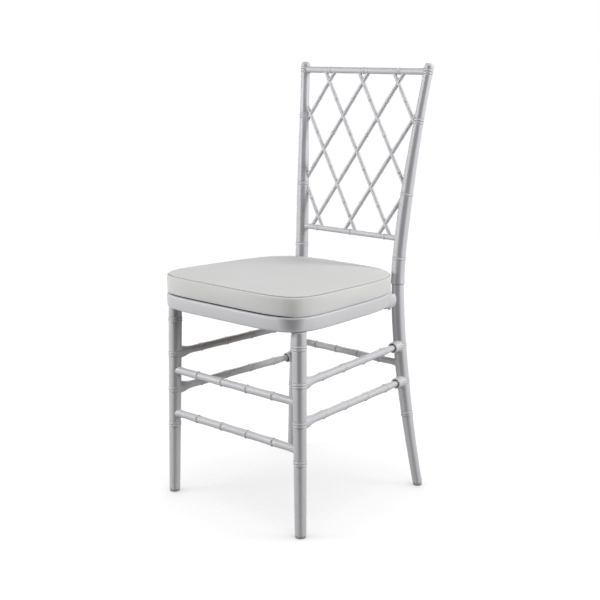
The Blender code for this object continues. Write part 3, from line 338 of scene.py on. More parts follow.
def ringPoints(centre, tangent, radius, sides, reference):
    side = (reference - tangent * reference.dot(tangent)).normalized()
    other = tangent.cross(side)
    turns = [2 * math.pi * step / sides for step in range(sides)]
    return [centre + (side * math.cos(turn) + other * math.sin(turn)) * radius for turn in turns]


def neighbours(count):
    return [(k, (k + 1) % count) for k in range(count)]


def addRings(shell, rings, reliefs, capFirst=True, capLast=True):
    first, sides = len(shell["points"]), len(rings[0])
    for ring, relief in zip(rings, reliefs):
        shell["points"] += ring
        shell["relief"] += [relief] * sides
    for step in range(len(rings) - 1):
        low, high = first + step * sides, first + (step + 1) * sides
        shell["faces"] += [(low + k, low + after, high + after, high + k) for k, after in neighbours(sides)]
    last = first + (len(rings) - 1) * sides
    if capFirst:
        shell["faces"].append(tuple(first + k for k in reversed(range(sides))))
    if capLast:
        shell["faces"].append(tuple(last + k for k in range(sides)))


def addLathe(shell, start, direction, profile, sides, reference=upAxis):
    rings = [ringPoints(start + direction * run, direction, radius, sides, reference)
             for run, radius, _ in profile]
    addRings(shell, rings, [relief for _, _, relief in profile])


def dress(piece, node, body):
    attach(piece, body)
    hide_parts(node)


# a piece is named after the node that it replaces
def makePiece(node, shell, slotName="silver_lacquer", body=frameBody, sharp=38):
    first, *others = node.split("_")
    name = first + "".join(word.title() for word in others)
    mesh = bpy.data.meshes.new(name)
    mesh.from_pydata(shell["points"], [], shell["faces"])
    mesh.attributes.new("relief", "FLOAT", "POINT").data.foreach_set("value", shell["relief"])
    mesh.materials.append(finishes[slotName])
    mesh.shade_smooth()
    mesh.set_sharp_from_angle(angle=math.radians(sharp))
    piece = bpy.data.objects.new(name, mesh)
    bpy.context.scene.collection.objects.link(piece)
    dress(piece, node, body)


# runs along a piece: even steps, with fine ones around the places that need them
runSettings = dict(digits=6, apart=0.6)       # runs closer than this share of a fine step are dropped


def runsAlong(first, last, step, focuses, near):
    reach, fine = near["reach"], near["fine"]
    digits, apart = runSettings["digits"], fine * runSettings["apart"]
    first, last = round(first, digits), round(last, digits)
    count, fineSteps = max(int((last - first) / step), 1), int(reach / fine)
    runs = {round(first + (last - first) * k / count, digits) for k in range(count + 1)}
    for focus in focuses:
        runs |= {round(focus + k * fine, digits) for k in range(-fineSteps, fineSteps + 1)}
    kept = [first]
    for run in sorted(run for run in runs if first < run < last):
        if run - kept[-1] > apart and last - run > apart:
            kept.append(run)
    return kept + [last]


# turned beads on legs and posts, with painted shade in the grooves beside them and lighter crests
beadSettings = dict(
    pitch=0.0054, half=0.0024, rise=0.0010, dip=0.0006, dipWidth=0.0008, reach=0.0090, fine=0.0005,
    spare=0.0040, crestShade=0.6)


def beadRelief(distance, rings, settings=beadSettings):
    half, pitch = settings["half"], settings["pitch"]
    centres = [pitch * (ring - (rings - 1) / 2) for ring in range(rings)]
    rise = max(math.sqrt(max(1 - ((distance - centre) / half) ** 2, 0.0)) for centre in centres)
    grooves = [pitch * (ring - rings / 2) for ring in range(rings + 1)]
    dip = max(hump(distance - groove, settings["dipWidth"]) for groove in grooves)
    return settings["rise"] * rise - settings["dip"] * dip, settings["crestShade"] * rise - dip


def beadSum(position, groups):
    grown, relief = 0.0, 0.0
    for centre, rings in groups:
        if abs(position - centre) < beadSettings["reach"] + beadSettings["spare"]:
            rise, shade = beadRelief(position - centre, rings)
            grown, relief = grown + rise, relief + shade
    return grown, relief


# floor and top of a node's solid, which the frame gives to a micrometre
frameDigits = 6


def heights(node):
    return [round(corner.z, frameDigits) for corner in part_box(node)]


# levels that several pieces share
def readLevels(chairTop):
    ringFloor, seatTop = heights("seat_ring")
    return dict(chairTop=chairTop, seatTop=seatTop, ringFloor=ringFloor,
                legFloor=heights("left_back_post")[0], cushionFloor=heights("cushion")[0])


levels = readLevels(chairTop=0.920)

# front legs: turned, tapered and splayed
legSettings = dict(
    topX=0.1774, topY=-0.1886, splayX=0.0091, splayY=-0.0061, topRadius=0.0142, footRadius=0.0117,
    taperTop=0.360, beads=((0.3876, 2), (0.3129, 2), (0.2339, 2), (0.1549, 2)), edge=0.0012, step=0.02,
    clearance=0.0003, topShade=-0.5, sides=56)


def legPoint(side, height):
    share = (levels["ringFloor"] - height) / levels["ringFloor"]
    return Vector((side * (legSettings["topX"] + legSettings["splayX"] * share),
                   legSettings["topY"] + legSettings["splayY"] * share, height))


def legRadius(height):
    foot, top = legSettings["footRadius"], legSettings["topRadius"]
    return foot + (top - foot) * min(height / legSettings["taperTop"], 1.0)


def makeFrontLeg(label, side):
    shell, leg = newShell(), legSettings
    floor, top = levels["legFloor"], levels["ringFloor"] - leg["clearance"]
    focuses = [z for z, _ in leg["beads"]]
    runs = runsAlong(floor + leg["edge"], top - leg["edge"], leg["step"], focuses, beadSettings)
    stations = [(floor, legRadius(floor) - leg["edge"], 0.0)]
    for height in runs:
        grown, relief = beadSum(height, leg["beads"])
        stations.append((height, legRadius(height) + grown, relief))
    # the top ring is painted darker: painted shade where the leg meets the seat ring
    stations.append((top, legRadius(top) - leg["edge"], leg["topShade"]))
    rings = [ringPoints(legPoint(side, height), upAxis, radius, leg["sides"], acrossAxis)
             for height, radius, _ in stations]
    addRings(shell, rings, [relief for _, _, relief in stations])
    makePiece(label + "_front_leg", shell)


# back posts: one bent piece from the floor to the rounded top
postSettings = dict(
    waistX=0.1399, waistZ=0.4868, topFlare=0.0340, topPower=1.38, footFlare=0.0503, footPower=1.40,
    foreY=0.1665, foreZ=0.3767, lean=0.0555, leanPower=1.60, rake=0.0250, rakePower=1.83,
    waistRadius=0.0138, topRadius=0.0100, footRadius=0.0104, taperZ=0.5802, taperLength=0.280,
    footTaper=0.300, lipZ=0.4545, lipRise=0.0007, lipLength=0.0120, sleeve=0.0005, sleeveTop=0.5400,
    waistDrop=0.0400, waistCut=0.0009, sides=56, edge=0.0012, capRise=0.0062, capRound=0.0056,
    capSteps=9, crownRise=0.0005, crownDraw=0.0013, crownSteps=3, capShade=0.1, lipGroove=0.0010,
    firstRing=0.0060, step=0.012, tangentSpan=0.002,
    beads=((0.166, 2), (0.2399, 2), (0.3189, 2), (0.5092, 1), (0.6467, 1), (0.8002, 2), (0.9029, 2)))


def postPoint(side, height):
    post, top = postSettings, levels["chairTop"]
    above, below = max(height - post["waistZ"], 0.0), max(post["waistZ"] - height, 0.0)
    x = (post["waistX"] + post["topFlare"] * (above / (top - post["waistZ"])) ** post["topPower"]
         + post["footFlare"] * (below / post["waistZ"]) ** post["footPower"])
    above, below = max(height - post["foreZ"], 0.0), max(post["foreZ"] - height, 0.0)
    y = (post["foreY"] + post["lean"] * (above / (top - post["foreZ"])) ** post["leanPower"]
         + post["rake"] * (below / post["foreZ"]) ** post["rakePower"])
    return Vector((side * x, y, height))


def postTangent(side, height):
    span = postSettings["tangentSpan"]
    return (postPoint(side, height + span) - postPoint(side, height - span)).normalized()


def postRadius(height):
    post = postSettings
    thinTop = smoothStep((height - post["taperZ"]) / post["taperLength"])
    thinFoot = smoothStep(1 - height / post["footTaper"])
    return (post["waistRadius"] - (post["waistRadius"] - post["topRadius"]) * thinTop
            - (post["waistRadius"] - post["footRadius"]) * thinFoot)


# collars on the posts, with a bore for the end of a side stretcher
collarSettings = dict(
    radius=0.0115, bore=0.0086, face=0.0300, depth=0.0130, edge=0.0009, rounding=0.3, mouth=0.6,
    saddle=0.0030, saddleRun=0.0040, saddleStart=0.0020, hidden=0.0060, hiddenShare=0.6, steps=19,
    sides=48, endShades=(0.5, 0.7, 0.3, -0.8, -1.0))


def addCollar(shell, axisPoint, direction, surface):
    collar, profile = collarSettings, []
    face, radius, bore, edge = collar["face"], collar["radius"], collar["bore"], collar["edge"]
    corner, mouth = edge * collar["rounding"], edge * collar["mouth"]
    for step in range(collar["steps"] + 1):
        run = (face - edge) * step / collar["steps"]
        past = max(run - surface + collar["saddleStart"], 0.0)
        grown = collar["saddle"] * math.exp(-past / collar["saddleRun"])
        shown = run > surface - collar["hidden"]
        profile.append((run, radius + grown if shown else radius * collar["hiddenShare"], 0.0))
    # the rim is painted lighter and the bore darker inward: painted shade in the hole
    ends = [(face - corner, radius - corner), (face, radius - edge), (face, bore + mouth),
            (face - mouth, bore), (face - collar["depth"], bore)]
    profile += [(*end, shade) for end, shade in zip(ends, collar["endShades"])]
    addLathe(shell, axisPoint, direction, profile, collar["sides"])


# stretchers: knuckles along the rod, flared where it meets a leg, with painted shade in the dips and
# lighter ridges
stretcherSettings = dict(
    sideUpper=0.3129, sideLower=0.2339, sideRise=0.0060, frontUpper=0.2764, frontLower=0.1807,
    back=0.2784, radius=0.0082, backRadius=0.0076, knuckles=4, ridge=0.0011, ridgeWidth=0.0022,
    dip=0.0006, dipWidth=0.0012, dipShift=0.0040, waist=0.0005, frontFlare=0.0012, frontRun=0.030,
    sideFlare=0.0046, sideRun=0.050, flareStart=0.4, neck=0.0012, neckStart=0.0060, crestShade=0.5,
    dipShade=0.8, inside=0.0050, socketGap=0.0010, step=0.006, reach=0.008, fine=0.0006, sides=48)


def stretcherEnds():
    stretcher, paths = stretcherSettings, {}
    for level, height in (("upper", stretcher["frontUpper"]), ("lower", stretcher["frontLower"])):
        paths["front_stretcher_" + level] = (legPoint(-1, height), legPoint(1, height))
    for label, side in sideNames.items():
        for level, height in (("upper", stretcher["sideUpper"]), ("lower", stretcher["sideLower"])):
            ends = (legPoint(side, height), postPoint(side, height + stretcher["sideRise"]))
            paths[f"{label}_side_stretcher_{level}"] = ends
    paths["back_stretcher"] = (postPoint(-1, stretcher["back"]), postPoint(1, stretcher["back"]))
    return paths


stretchers = stretcherEnds()


def makeBackPost(label, side):
    shell, post = newShell(), postSettings
    floor, top = levels["legFloor"], levels["chairTop"]
    dome = top - post["capRise"]
    focuses = [z for z, _ in post["beads"]] + [post["lipZ"]]
    runs = runsAlong(floor + post["firstRing"], dome, post["step"], focuses, beadSettings)
    rings, reliefs = [], []

    def ringAt(height, radius):
        tangent = postTangent(side, height)
        return ringPoints(postPoint(side, height), tangent, radius, post["sides"], acrossAxis)

    for drop, inset in ((0.0, post["edge"]), (post["edge"], 0.0)):       # flat on its glide
        height = floor + drop
        tangent, ring = postTangent(side, height), ringAt(height, postRadius(height) - inset)
        rings.append([point - tangent * ((point.z - height) / tangent.z) for point in ring])
        reliefs.append(0.0)
    for height in runs:
        grown, relief = beadSum(height, post["beads"])
        lip = height - post["lipZ"]
        if lip >= 0.0:       # shoulder that overhangs the lower post
            grown += post["lipRise"] * smoothStep(1 - lip / post["lipLength"])
            left = (post["sleeveTop"] - height) / (post["sleeveTop"] - post["lipZ"])
            grown += post["sleeve"] * smoothStep(2 * left)
        else:
            grown -= post["waistCut"] * smoothStep(1 + lip / post["waistDrop"])
        # painted shade in a line just under the lip
        relief -= hump(lip + post["lipGroove"], post["lipGroove"])
        rings.append(ringAt(height, postRadius(height) + grown))
        reliefs.append(relief)
    # rounded shoulder, then a nearly flat crown, painted slightly lighter
    for step in range(1, post["capSteps"] + post["crownSteps"] + 1):
        turn = math.pi / 2 * min(step / post["capSteps"], 1.0)
        onCrown = max(step - post["capSteps"], 0)
        shoulder = dome + (post["capRise"] - post["crownRise"]) * math.sin(turn)
        height = shoulder + post["crownRise"] * onCrown / post["crownSteps"]
        radius = post["topRadius"] - post["capRound"] * (1 - math.cos(turn)) - post["crownDraw"] * onCrown
        rings.append(ringAt(height, radius))
        reliefs.append(post["capShade"])
    addRings(shell, rings, reliefs)
    for level in ("upper", "lower"):
        legEnd, postEnd = stretchers[f"{label}_side_stretcher_{level}"]
        addCollar(shell, postEnd, (legEnd - postEnd).normalized(), postRadius(postEnd.z))
    makePiece(label + "_back_post", shell)


def stretcherProfile(length, radius, first, last, startFlare, startRun, endFlare, endRun, neckAt=None):
    stretcher = stretcherSettings
    pitch = length / (stretcher["knuckles"] + 1)
    middles = [pitch * k for k in range(1, stretcher["knuckles"] + 1)]
    profile = []
    for run in runsAlong(first, last, stretcher["step"], middles, stretcher):
        share = run / pitch - math.floor(run / pitch)
        grown = -stretcher["waist"] * math.sin(math.pi * share) ** 2
        relief = 0.0
        for middle in middles:
            ridge = hump(run - middle, stretcher["ridgeWidth"])
            dip = hump(run - middle - stretcher["dipShift"], stretcher["dipWidth"])
            grown += stretcher["ridge"] * ridge - stretcher["dip"] * dip
            relief += stretcher["crestShade"] * ridge - stretcher["dipShade"] * dip
        for flare, reach, far in ((startFlare, startRun, run), (endFlare, endRun, length - run)):
            if flare:
                grown += flare * min(max((1 - far / reach) / (1 - stretcher["flareStart"]), 0.0), 1.0) ** 2
        if neckAt is not None:
            start = middles[-1] + stretcher["neckStart"]
            grown -= stretcher["neck"] * smoothStep((run - start) / (neckAt - start))
        profile.append((run, radius + grown, relief))
    return profile


def makeStretcher(node, start, end):
    shell, stretcher = newShell(), stretcherSettings
    length, direction = (end - start).length, (end - start).normalized()
    inside = stretcher["inside"]
    if "side" in node:
        mouth = length - collarSettings["face"]
        last = mouth + collarSettings["depth"] - stretcher["socketGap"]
        profile = stretcherProfile(length, stretcher["radius"], inside, last, stretcher["sideFlare"],
                                   stretcher["sideRun"], 0.0, 0.0, neckAt=mouth)
    else:
        radius = stretcher["backRadius" if node.startswith("back") else "radius"]
        flare = (stretcher["frontFlare"], stretcher["frontRun"])
        profile = stretcherProfile(length, radius, inside, length - inside, *flare, *flare)
    addLathe(shell, start, direction, profile, stretcher["sides"])
    makePiece(node, shell)


for label, side in sideNames.items():
    makeFrontLeg(label, side)
    makeBackPost(label, side)
for node, (start, end) in stretchers.items():
    makeStretcher(node, start, end)
print("legs, posts and stretchers ready")


# rails and crossing bars of the back
latticeSettings = dict(
    topRailZ=0.9029, lowRailZ=0.5514, topRailRadius=0.0068, lowRailRadius=0.0058,
    rows=5, diamonds=3, topRowZ=0.8784, lowRowZ=0.5785, sideInset=0.0101, barRadius=0.0041,
    offsets=(-7, -5, -3, -1, 1), fitPasses=40, margin=0.25,
    inside=0.0030, step=0.008, reach=0.009, fine=0.001, sides=32,
    knot=dict(rise=0.0008, width=0.0030, dip=0.0003, dipShift=0.0055, dipWidth=0.0012,
              crestShade=0.4, dipShade=0.5))
railSettings = dict(
    inside=0.0040, step=0.008, reach=0.008, fine=0.0008, endFlare=0.0010, endWidth=0.0040,
    knot=dict(rise=0.0009, width=0.0024, dip=0.0004, dipShift=0.0050, dipWidth=0.0013,
              crestShade=0.5, dipShade=0.5))
rowPitch = (latticeSettings["topRowZ"] - latticeSettings["lowRowZ"]) / (latticeSettings["rows"] - 1)
middleRowZ = (latticeSettings["topRowZ"] + latticeSettings["lowRowZ"]) / 2
columnPitch = (postPoint(1, middleRowZ).x - latticeSettings["sideInset"]) / latticeSettings["diamonds"]


def latticePoint(column, row):
    lattice = latticeSettings
    height = lattice["topRowZ"] - (row - 1) * rowPitch
    lowY, topY = postPoint(1, lattice["lowRailZ"]).y, postPoint(1, lattice["topRailZ"]).y
    lean = (height - lattice["lowRailZ"]) / (lattice["topRailZ"] - lattice["lowRailZ"])
    return Vector((column * columnPitch, lowY + (topY - lowY) * lean, height))


def rowAtPost(offset, side):
    row = latticeSettings["rows"] / 2
    for _ in range(latticeSettings["fitPasses"]):
        height = latticeSettings["topRowZ"] - (row - 1) * rowPitch
        row = side * postPoint(1, height).x / columnPitch - offset
    return row


# ridges of a rail or bar, with a dip on one side or on both; the dips carry painted shade and the ridges a
# lighter tone
def knotAt(run, knots, knot, bothSides):
    bump = sum(hump(run - place, knot["width"]) for place in knots)
    away = [abs(run - place) if bothSides else run - place for place in knots]
    dip = sum(hump(distance - knot["dipShift"], knot["dipWidth"]) for distance in away)
    return knot["rise"] * bump - knot["dip"] * dip, knot["crestShade"] * bump - knot["dipShade"] * dip


def makeRail(node, height, radius):
    shell, rail = newShell(), railSettings
    start, end = postPoint(-1, height), postPoint(1, height)
    length = (end - start).length
    diamonds = latticeSettings["diamonds"]
    knots = [length / 2 + column * columnPitch for column in range(1 - diamonds, diamonds, 2)]
    profile = []
    for run in runsAlong(rail["inside"], length - rail["inside"], rail["step"], knots, rail):
        grown, relief = knotAt(run, knots, rail["knot"], True)
        flare = hump(min(run, length - run) - postRadius(height), rail["endWidth"])
        profile.append((run, radius + grown + rail["endFlare"] * flare, relief))
    addLathe(shell, start, (end - start).normalized(), profile, latticeSettings["sides"])
    makePiece(node, shell)


def makeBar(hand, number, offset):
    shell, lattice = newShell(), latticeSettings
    topRow = 1 - (lattice["topRailZ"] - lattice["topRowZ"]) / rowPitch
    lowRow = lattice["rows"] + (lattice["lowRowZ"] - lattice["lowRailZ"]) / rowPitch
    first, last = max(rowAtPost(offset, -1), topRow), min(rowAtPost(offset, 1), lowRow)
    start, end = latticePoint(hand * (first + offset), first), latticePoint(hand * (last + offset), last)
    length = (end - start).length
    pitch = length / (last - first)
    spare = lattice["margin"] * pitch
    knots = [(row + 0.5 - first) * pitch for row in range(1, lattice["rows"])]
    knots = [knot for knot in knots if spare < knot < length - spare]
    profile = []
    for run in runsAlong(lattice["inside"], length - lattice["inside"], lattice["step"], knots, lattice):
        grown, relief = knotAt(run, knots, lattice["knot"], False)
        profile.append((run, lattice["barRadius"] + grown, relief))
    addLathe(shell, start, (end - start).normalized(), profile, lattice["sides"], acrossAxis)
    makePiece(f"{'falling' if hand > 0 else 'rising'}_lattice_bar_{number}", shell)


makeRail("top_rail", latticeSettings["topRailZ"], latticeSettings["topRailRadius"])
makeRail("lower_back_rail", latticeSettings["lowRailZ"], latticeSettings["lowRailRadius"])
for hand in (1, -1):
    for number, offset in enumerate(latticeSettings["offsets"], 1):
        makeBar(hand, number, offset)
print("rails and lattice ready")


# seat plan: a bowed square with soft corners, narrower towards the back
seatSettings = dict(
    halfWidth=0.1949, halfDepth=0.1978, middleY=-0.0333, taper=0.0592, front=5.50, back=3.56)


def seatPlan(u, v, inset, sharper=0.0):
    seat = seatSettings
    power = (seat["front"] if v < 0 else seat["back"]) * (1 + sharper * inset)
    spread = (abs(u) ** power + abs(v) ** power) ** (1 / power)
    draw = max(abs(u), abs(v)) / spread if spread else 1.0
    across, back = u * draw, v * draw
    x = (seat["halfWidth"] - inset) * across * (1 - seat["taper"] * back)
    return x, seat["middleY"] + (seat["halfDepth"] - inset) * back


def rimRuns(steps):
    runs = [math.sin((2 * step / steps - 1) * math.pi / 2) for step in range(steps)]
    return ([(run, -1.0) for run in runs] + [(1.0, run) for run in runs]
            + [(-run, 1.0) for run in runs] + [(-1.0, -run) for run in runs])


def arc(centreInset, centreZ, radius, fromTurn, toTurn, steps):
    turns = [math.radians(fromTurn + (toTurn - fromTurn) * step / steps) for step in range(steps + 1)]
    return [(centreInset - radius * math.cos(turn), centreZ + radius * math.sin(turn)) for turn in turns]


# seat ring: a ledge inside for the board, and a lug to each post; rounded edges painted lighter, and
# painted shade in the ledge's inner corner
ringSettings = dict(
    width=0.0340, ledge=0.0120, ledgeZ=0.4371, topRound=0.0030, lowRound=0.0040, belly=0.0004,
    edge=0.0012, edgeShade=0.3, ledgeShade=-0.6, arcSteps=6, steps=44, lugRadius=0.0064, lugZ=0.4312,
    lugRoot=0.0150, lugSeating=0.0045, lugFlare=0.0016, lugFlareRun=0.0040, lugMiddle=0.4200,
    lugTall=2.35, lugSteps=12, lugSides=40)


def seatRear(x):
    seat = seatSettings
    across = abs(x) / (seat["halfWidth"] * (1 - seat["taper"]))
    return seat["middleY"] + seat["halfDepth"] * (1 - across ** seat["back"]) ** (1 / seat["back"])


def addRim(shell, section, steps):
    runs = rimRuns(steps)
    first, count = len(shell["points"]), len(section)
    for u, v in runs:
        for inset, height, relief in section:
            x, y = seatPlan(u, v, inset)
            shell["points"].append(Vector((x, y, height)))
            shell["relief"].append(relief)
    for step, afterStep in neighbours(len(runs)):
        low, high = first + step * count, first + afterStep * count
        shell["faces"] += [(low + k, high + k, high + after, low + after) for k, after in neighbours(count)]


def makeSeatRing():
    shell, ring = newShell(), ringSettings
    floor, top = levels["ringFloor"], levels["seatTop"]
    low, high, steps = floor + ring["lowRound"], top - ring["topRound"], ring["arcSteps"]
    lowArc = arc(ring["lowRound"], low, ring["lowRound"], -90, 0, steps)
    topArc = arc(ring["topRound"], high, ring["topRound"], 0, 90, steps)
    section = [(*point, ring["edgeShade"]) for point in lowArc]
    middle, half = (floor + top) / 2, (top - floor) / 2
    for step in range(1, steps):
        height = low + (high - low) * step / steps
        section.append((-ring["belly"] * (1 - ((height - middle) / half) ** 2), height, 0.0))
    section += [(*point, ring["edgeShade"]) for point in topArc]
    width, rabbet, ledge, edge = ring["width"], ring["width"] - ring["ledge"], ring["ledgeZ"], ring["edge"]
    section += [(rabbet - edge, top, 0.0), (rabbet, top - edge, 0.0), (rabbet, ledge, ring["ledgeShade"]),
                (width - edge, ledge, 0.0), (width, ledge - edge, 0.0), (width, floor + edge, 0.0),
                (width - edge, floor, 0.0)]
    addRim(shell, section, ring["steps"])
    for side in sideNames.values():
        axis = postPoint(side, ring["lugZ"])
        root = Vector((axis.x, seatRear(axis.x) - ring["lugRoot"], ring["lugZ"]))
        tip = axis.y - postRadius(ring["lugZ"]) + ring["lugSeating"]
        length = tip - root.y
        runs = [length * step / ring["lugSteps"] for step in range(ring["lugSteps"] + 1)]
        flares = [ring["lugFlare"] * hump(run - ring["lugRoot"], ring["lugFlareRun"]) for run in runs]
        profile = [(run, ring["lugRadius"] + flare, 0.0) for run, flare in zip(runs, flares)]
        first = len(shell["points"])
        addLathe(shell, root, Vector((0, 1, 0)), profile, ring["lugSides"])
        for point in shell["points"][first:]:       # taller than wide, mostly below the bolt
            point.z = ring["lugMiddle"] + (point.z - ring["lugZ"]) * ring["lugTall"]
    makePiece("seat_ring", shell)


# flat panels between the heights of their solids
boardSettings = dict(inset=0.0223, edge=0.0008, steps=40)
baseSettings = dict(inset=0.0040, edge=0.0008, steps=40)


def makePanel(node, slotName, body, panel):
    shell = newShell()
    low, high = heights(node)
    edge, rings = panel["edge"], []
    for extra, height in ((edge, low), (0.0, low + edge), (0.0, high - edge), (edge, high)):
        plan = [seatPlan(u, v, panel["inset"] + extra) for u, v in rimRuns(panel["steps"])]
        rings.append([Vector((x, y, height)) for x, y in plan])
    addRings(shell, rings, [0.0] * len(rings))
    makePiece(node, shell, slotName, body)


makeSeatRing()
makePanel("seat_board", "plywood", frameBody, boardSettings)
makePanel("cushion_base", "cushion_base_board", cushionBody, baseSettings)
print("seat ring and boards ready")


# boxed cushion: top panel, side band and floor panel on one grid, filled by a cloth run
cushionSettings = dict(
    inset=0.0006, edgeHeight=0.0361, sink=0.10, crown=0.0058, crownPower=4, drawIn=0.0014, sharper=6.0,
    topRound=0.0060, arcSteps=8, seamStep=4, wallSteps=5, lowRound=0.0016, lowSteps=3,
    skirt=0.0028, frontLift=0.85, frontSpan=12, frontFade=8, hemReach=0.0040,
    seamDepth=0.0015, seamWidth=0.0014,
    # the cloth beside the seam is painted lighter: a painted highlight
    puff=0.15, puffReach=0.0040, puffWidth=0.0030, farRun=-1.0,
    pucker=0.00020, puckerPitch=0.016, puckerReach=0.012, puckerSway=1.7, swayTurn=31.0, finer=2, fill=0.75,
    halfSpan=0.197, lines=(0.0, 0.003, 0.007, 0.012, 0.018, 0.026, 0.036, 0.047, 0.058, 0.070, 0.082, 0.094,
                           0.106, 0.118, 0.130, 0.142, 0.155, 0.169, 0.183))
gripSettings = dict(
    rim=0.4, shoulder=0.4, seam=0.7, wall=0.0, hem=0.9, floor=1.0, hemLevels=3, rimReach=0.001)
clothSettings = dict(
    quality=6, mass=0.2, stretch=14.0, shear=6.0, bend=0.6, pressure=4.0, frames=20, cap=0.0020, least=1e-9)


def cushionLines():
    half = [1 - gap / cushionSettings["halfSpan"] for gap in cushionSettings["lines"]]
    return [-share for share in half] + [0.0] + half[::-1]


def cushionHeight(raw, y):
    back = (y - seatSettings["middleY"]) / seatSettings["halfDepth"]
    return levels["cushionFloor"] + raw * (1 - cushionSettings["sink"] * back)


# the side band hangs past the base board, less so along the front
def cushionDrop(u, v):
    cushion = cushionSettings
    front = (1 - u ** cushion["frontSpan"]) * max(-v, 0.0) ** cushion["frontFade"]
    return cushion["skirt"] * (1 - cushion["frontLift"] * front)


def cushionBand():
    cushion = cushionSettings
    inset, topRound, lowRound = cushion["inset"], cushion["topRound"], cushion["lowRound"]
    high, low = cushion["edgeHeight"] - topRound, lowRound - cushion["skirt"]
    band = arc(inset + topRound, high, topRound, 90, 0, cushion["arcSteps"])
    wallSteps = cushion["wallSteps"]
    band += [(inset, high - (high - low) * step / wallSteps) for step in range(1, wallSteps)]
    band += arc(inset + lowRound, low, lowRound, 0, -90, cushion["lowSteps"])
    run = topRound * math.pi / 2 * cushion["seamStep"] / cushion["arcSteps"]
    runs = [run]
    for before, after in zip(band, band[1:]):
        run -= math.dist(before, after)
        runs.append(run)
    return band, runs


def bandGrip(level, count):
    if level >= count - gripSettings["hemLevels"]:
        return gripSettings["hem"]
    if level == cushionSettings["seamStep"]:
        return gripSettings["seam"]
    return gripSettings["shoulder" if level < cushionSettings["arcSteps"] else "wall"]


def fillCushion(bm):
    cushion, lines = cushionSettings, cushionLines()
    held, seam = bm.verts.layers.deform.verify(), bm.verts.layers.float.new("seamRun")
    count, verts = len(lines), {}
    band, runs = cushionBand()

    def addVert(key, u, v, inset, raw, run, grip):
        x, y = seatPlan(u, v, inset, cushion["sharper"])
        vert = bm.verts.new((x, y, cushionHeight(raw, y)))
        vert[seam], vert[held][0] = run, grip
        verts[key] = vert

    for i, u in enumerate(lines):
        for j, v in enumerate(lines):
            rim = (1 - max(abs(u), abs(v))) * cushion["halfSpan"]
            crown = cushion["crown"] * (1 - u ** cushion["crownPower"]) * (1 - v ** cushion["crownPower"])
            grip = gripSettings["rim"] if rim < gripSettings["rimReach"] else 0.0
            addVert(("top", i, j), u, v, band[0][0], cushion["edgeHeight"] + crown, rim + runs[0], grip)
            drop = cushionDrop(u, v) if rim < cushion["hemReach"] else 0.0
            addVert(("low", i, j), u, v, band[-1][0], -drop, cushion["farRun"], gripSettings["floor"])
    end, steps = count - 1, range(count - 1)
    border = ([(k, 0) for k in steps] + [(end, k) for k in steps]
              + [(end - k, end) for k in steps] + [(0, end - k) for k in steps])
    for level in range(1, len(band) - 1):
        inset, raw = band[level]
        for i, j in border:
            u, v = lines[i], lines[j]
            across = min(max(raw / cushion["edgeHeight"], 0.0), 1.0)
            height = raw + (cushion["skirt"] - cushionDrop(u, v)) * (1 - across)
            waist = cushion["drawIn"] * 4 * across * (1 - across) * max(1 - u * u, 1 - v * v)
            addVert((level, i, j), u, v, inset + waist, height, runs[level], bandGrip(level, len(band)))
    for i in steps:
        for j in steps:
            cell = [(i, j), (i + 1, j), (i + 1, j + 1), (i, j + 1)]
            bm.faces.new([verts[("top", *k)] for k in cell])
            bm.faces.new([verts[("low", *k)] for k in reversed(cell)])
    loops = [[verts[("top", *k)] for k in border]]
    loops += [[verts[(level, *k)] for k in border] for level in range(1, len(band) - 1)]
    loops.append([verts[("low", *k)] for k in border])
    for upper, lower in zip(loops, loops[1:]):
        for k, after in neighbours(len(border)):
            bm.faces.new((upper[after], upper[k], lower[k], lower[after]))


def runCloth(piece, settings):
    modifier = piece.modifiers.new("Filling", "CLOTH")
    cloth = modifier.settings
    cloth.quality, cloth.mass = settings["quality"], settings["mass"]
    cloth.tension_stiffness = cloth.compression_stiffness = settings["stretch"]
    cloth.shear_stiffness, cloth.bending_stiffness = settings["shear"], settings["bend"]
    cloth.use_pressure, cloth.uniform_pressure_force = True, settings["pressure"]
    cloth.effector_weights.gravity = 0.0
    cloth.vertex_group_mass = "held"
    modifier.point_cache.frame_start, modifier.point_cache.frame_end = 1, settings["frames"]
    scene = bpy.context.scene
    for step in range(1, settings["frames"] + 1):
        scene.frame_set(step)
    filled = piece.evaluated_get(bpy.context.evaluated_depsgraph_get()).data
    for vert, moved in zip(piece.data.vertices, filled.vertices):
        shift = moved.co - vert.co
        vert.co += shift * min(1.0, settings["cap"] / max(shift.length, settings["least"]))
    piece.modifiers.remove(modifier)
    scene.frame_set(1)


def subdivide(piece, times):
    finer = piece.modifiers.new("Finer", "SUBSURF")
    finer.levels = finer.render_levels = times
    smooth = bpy.data.meshes.new_from_object(piece.evaluated_get(bpy.context.evaluated_depsgraph_get()))
    piece.modifiers.remove(finer)
    piece.data = smooth


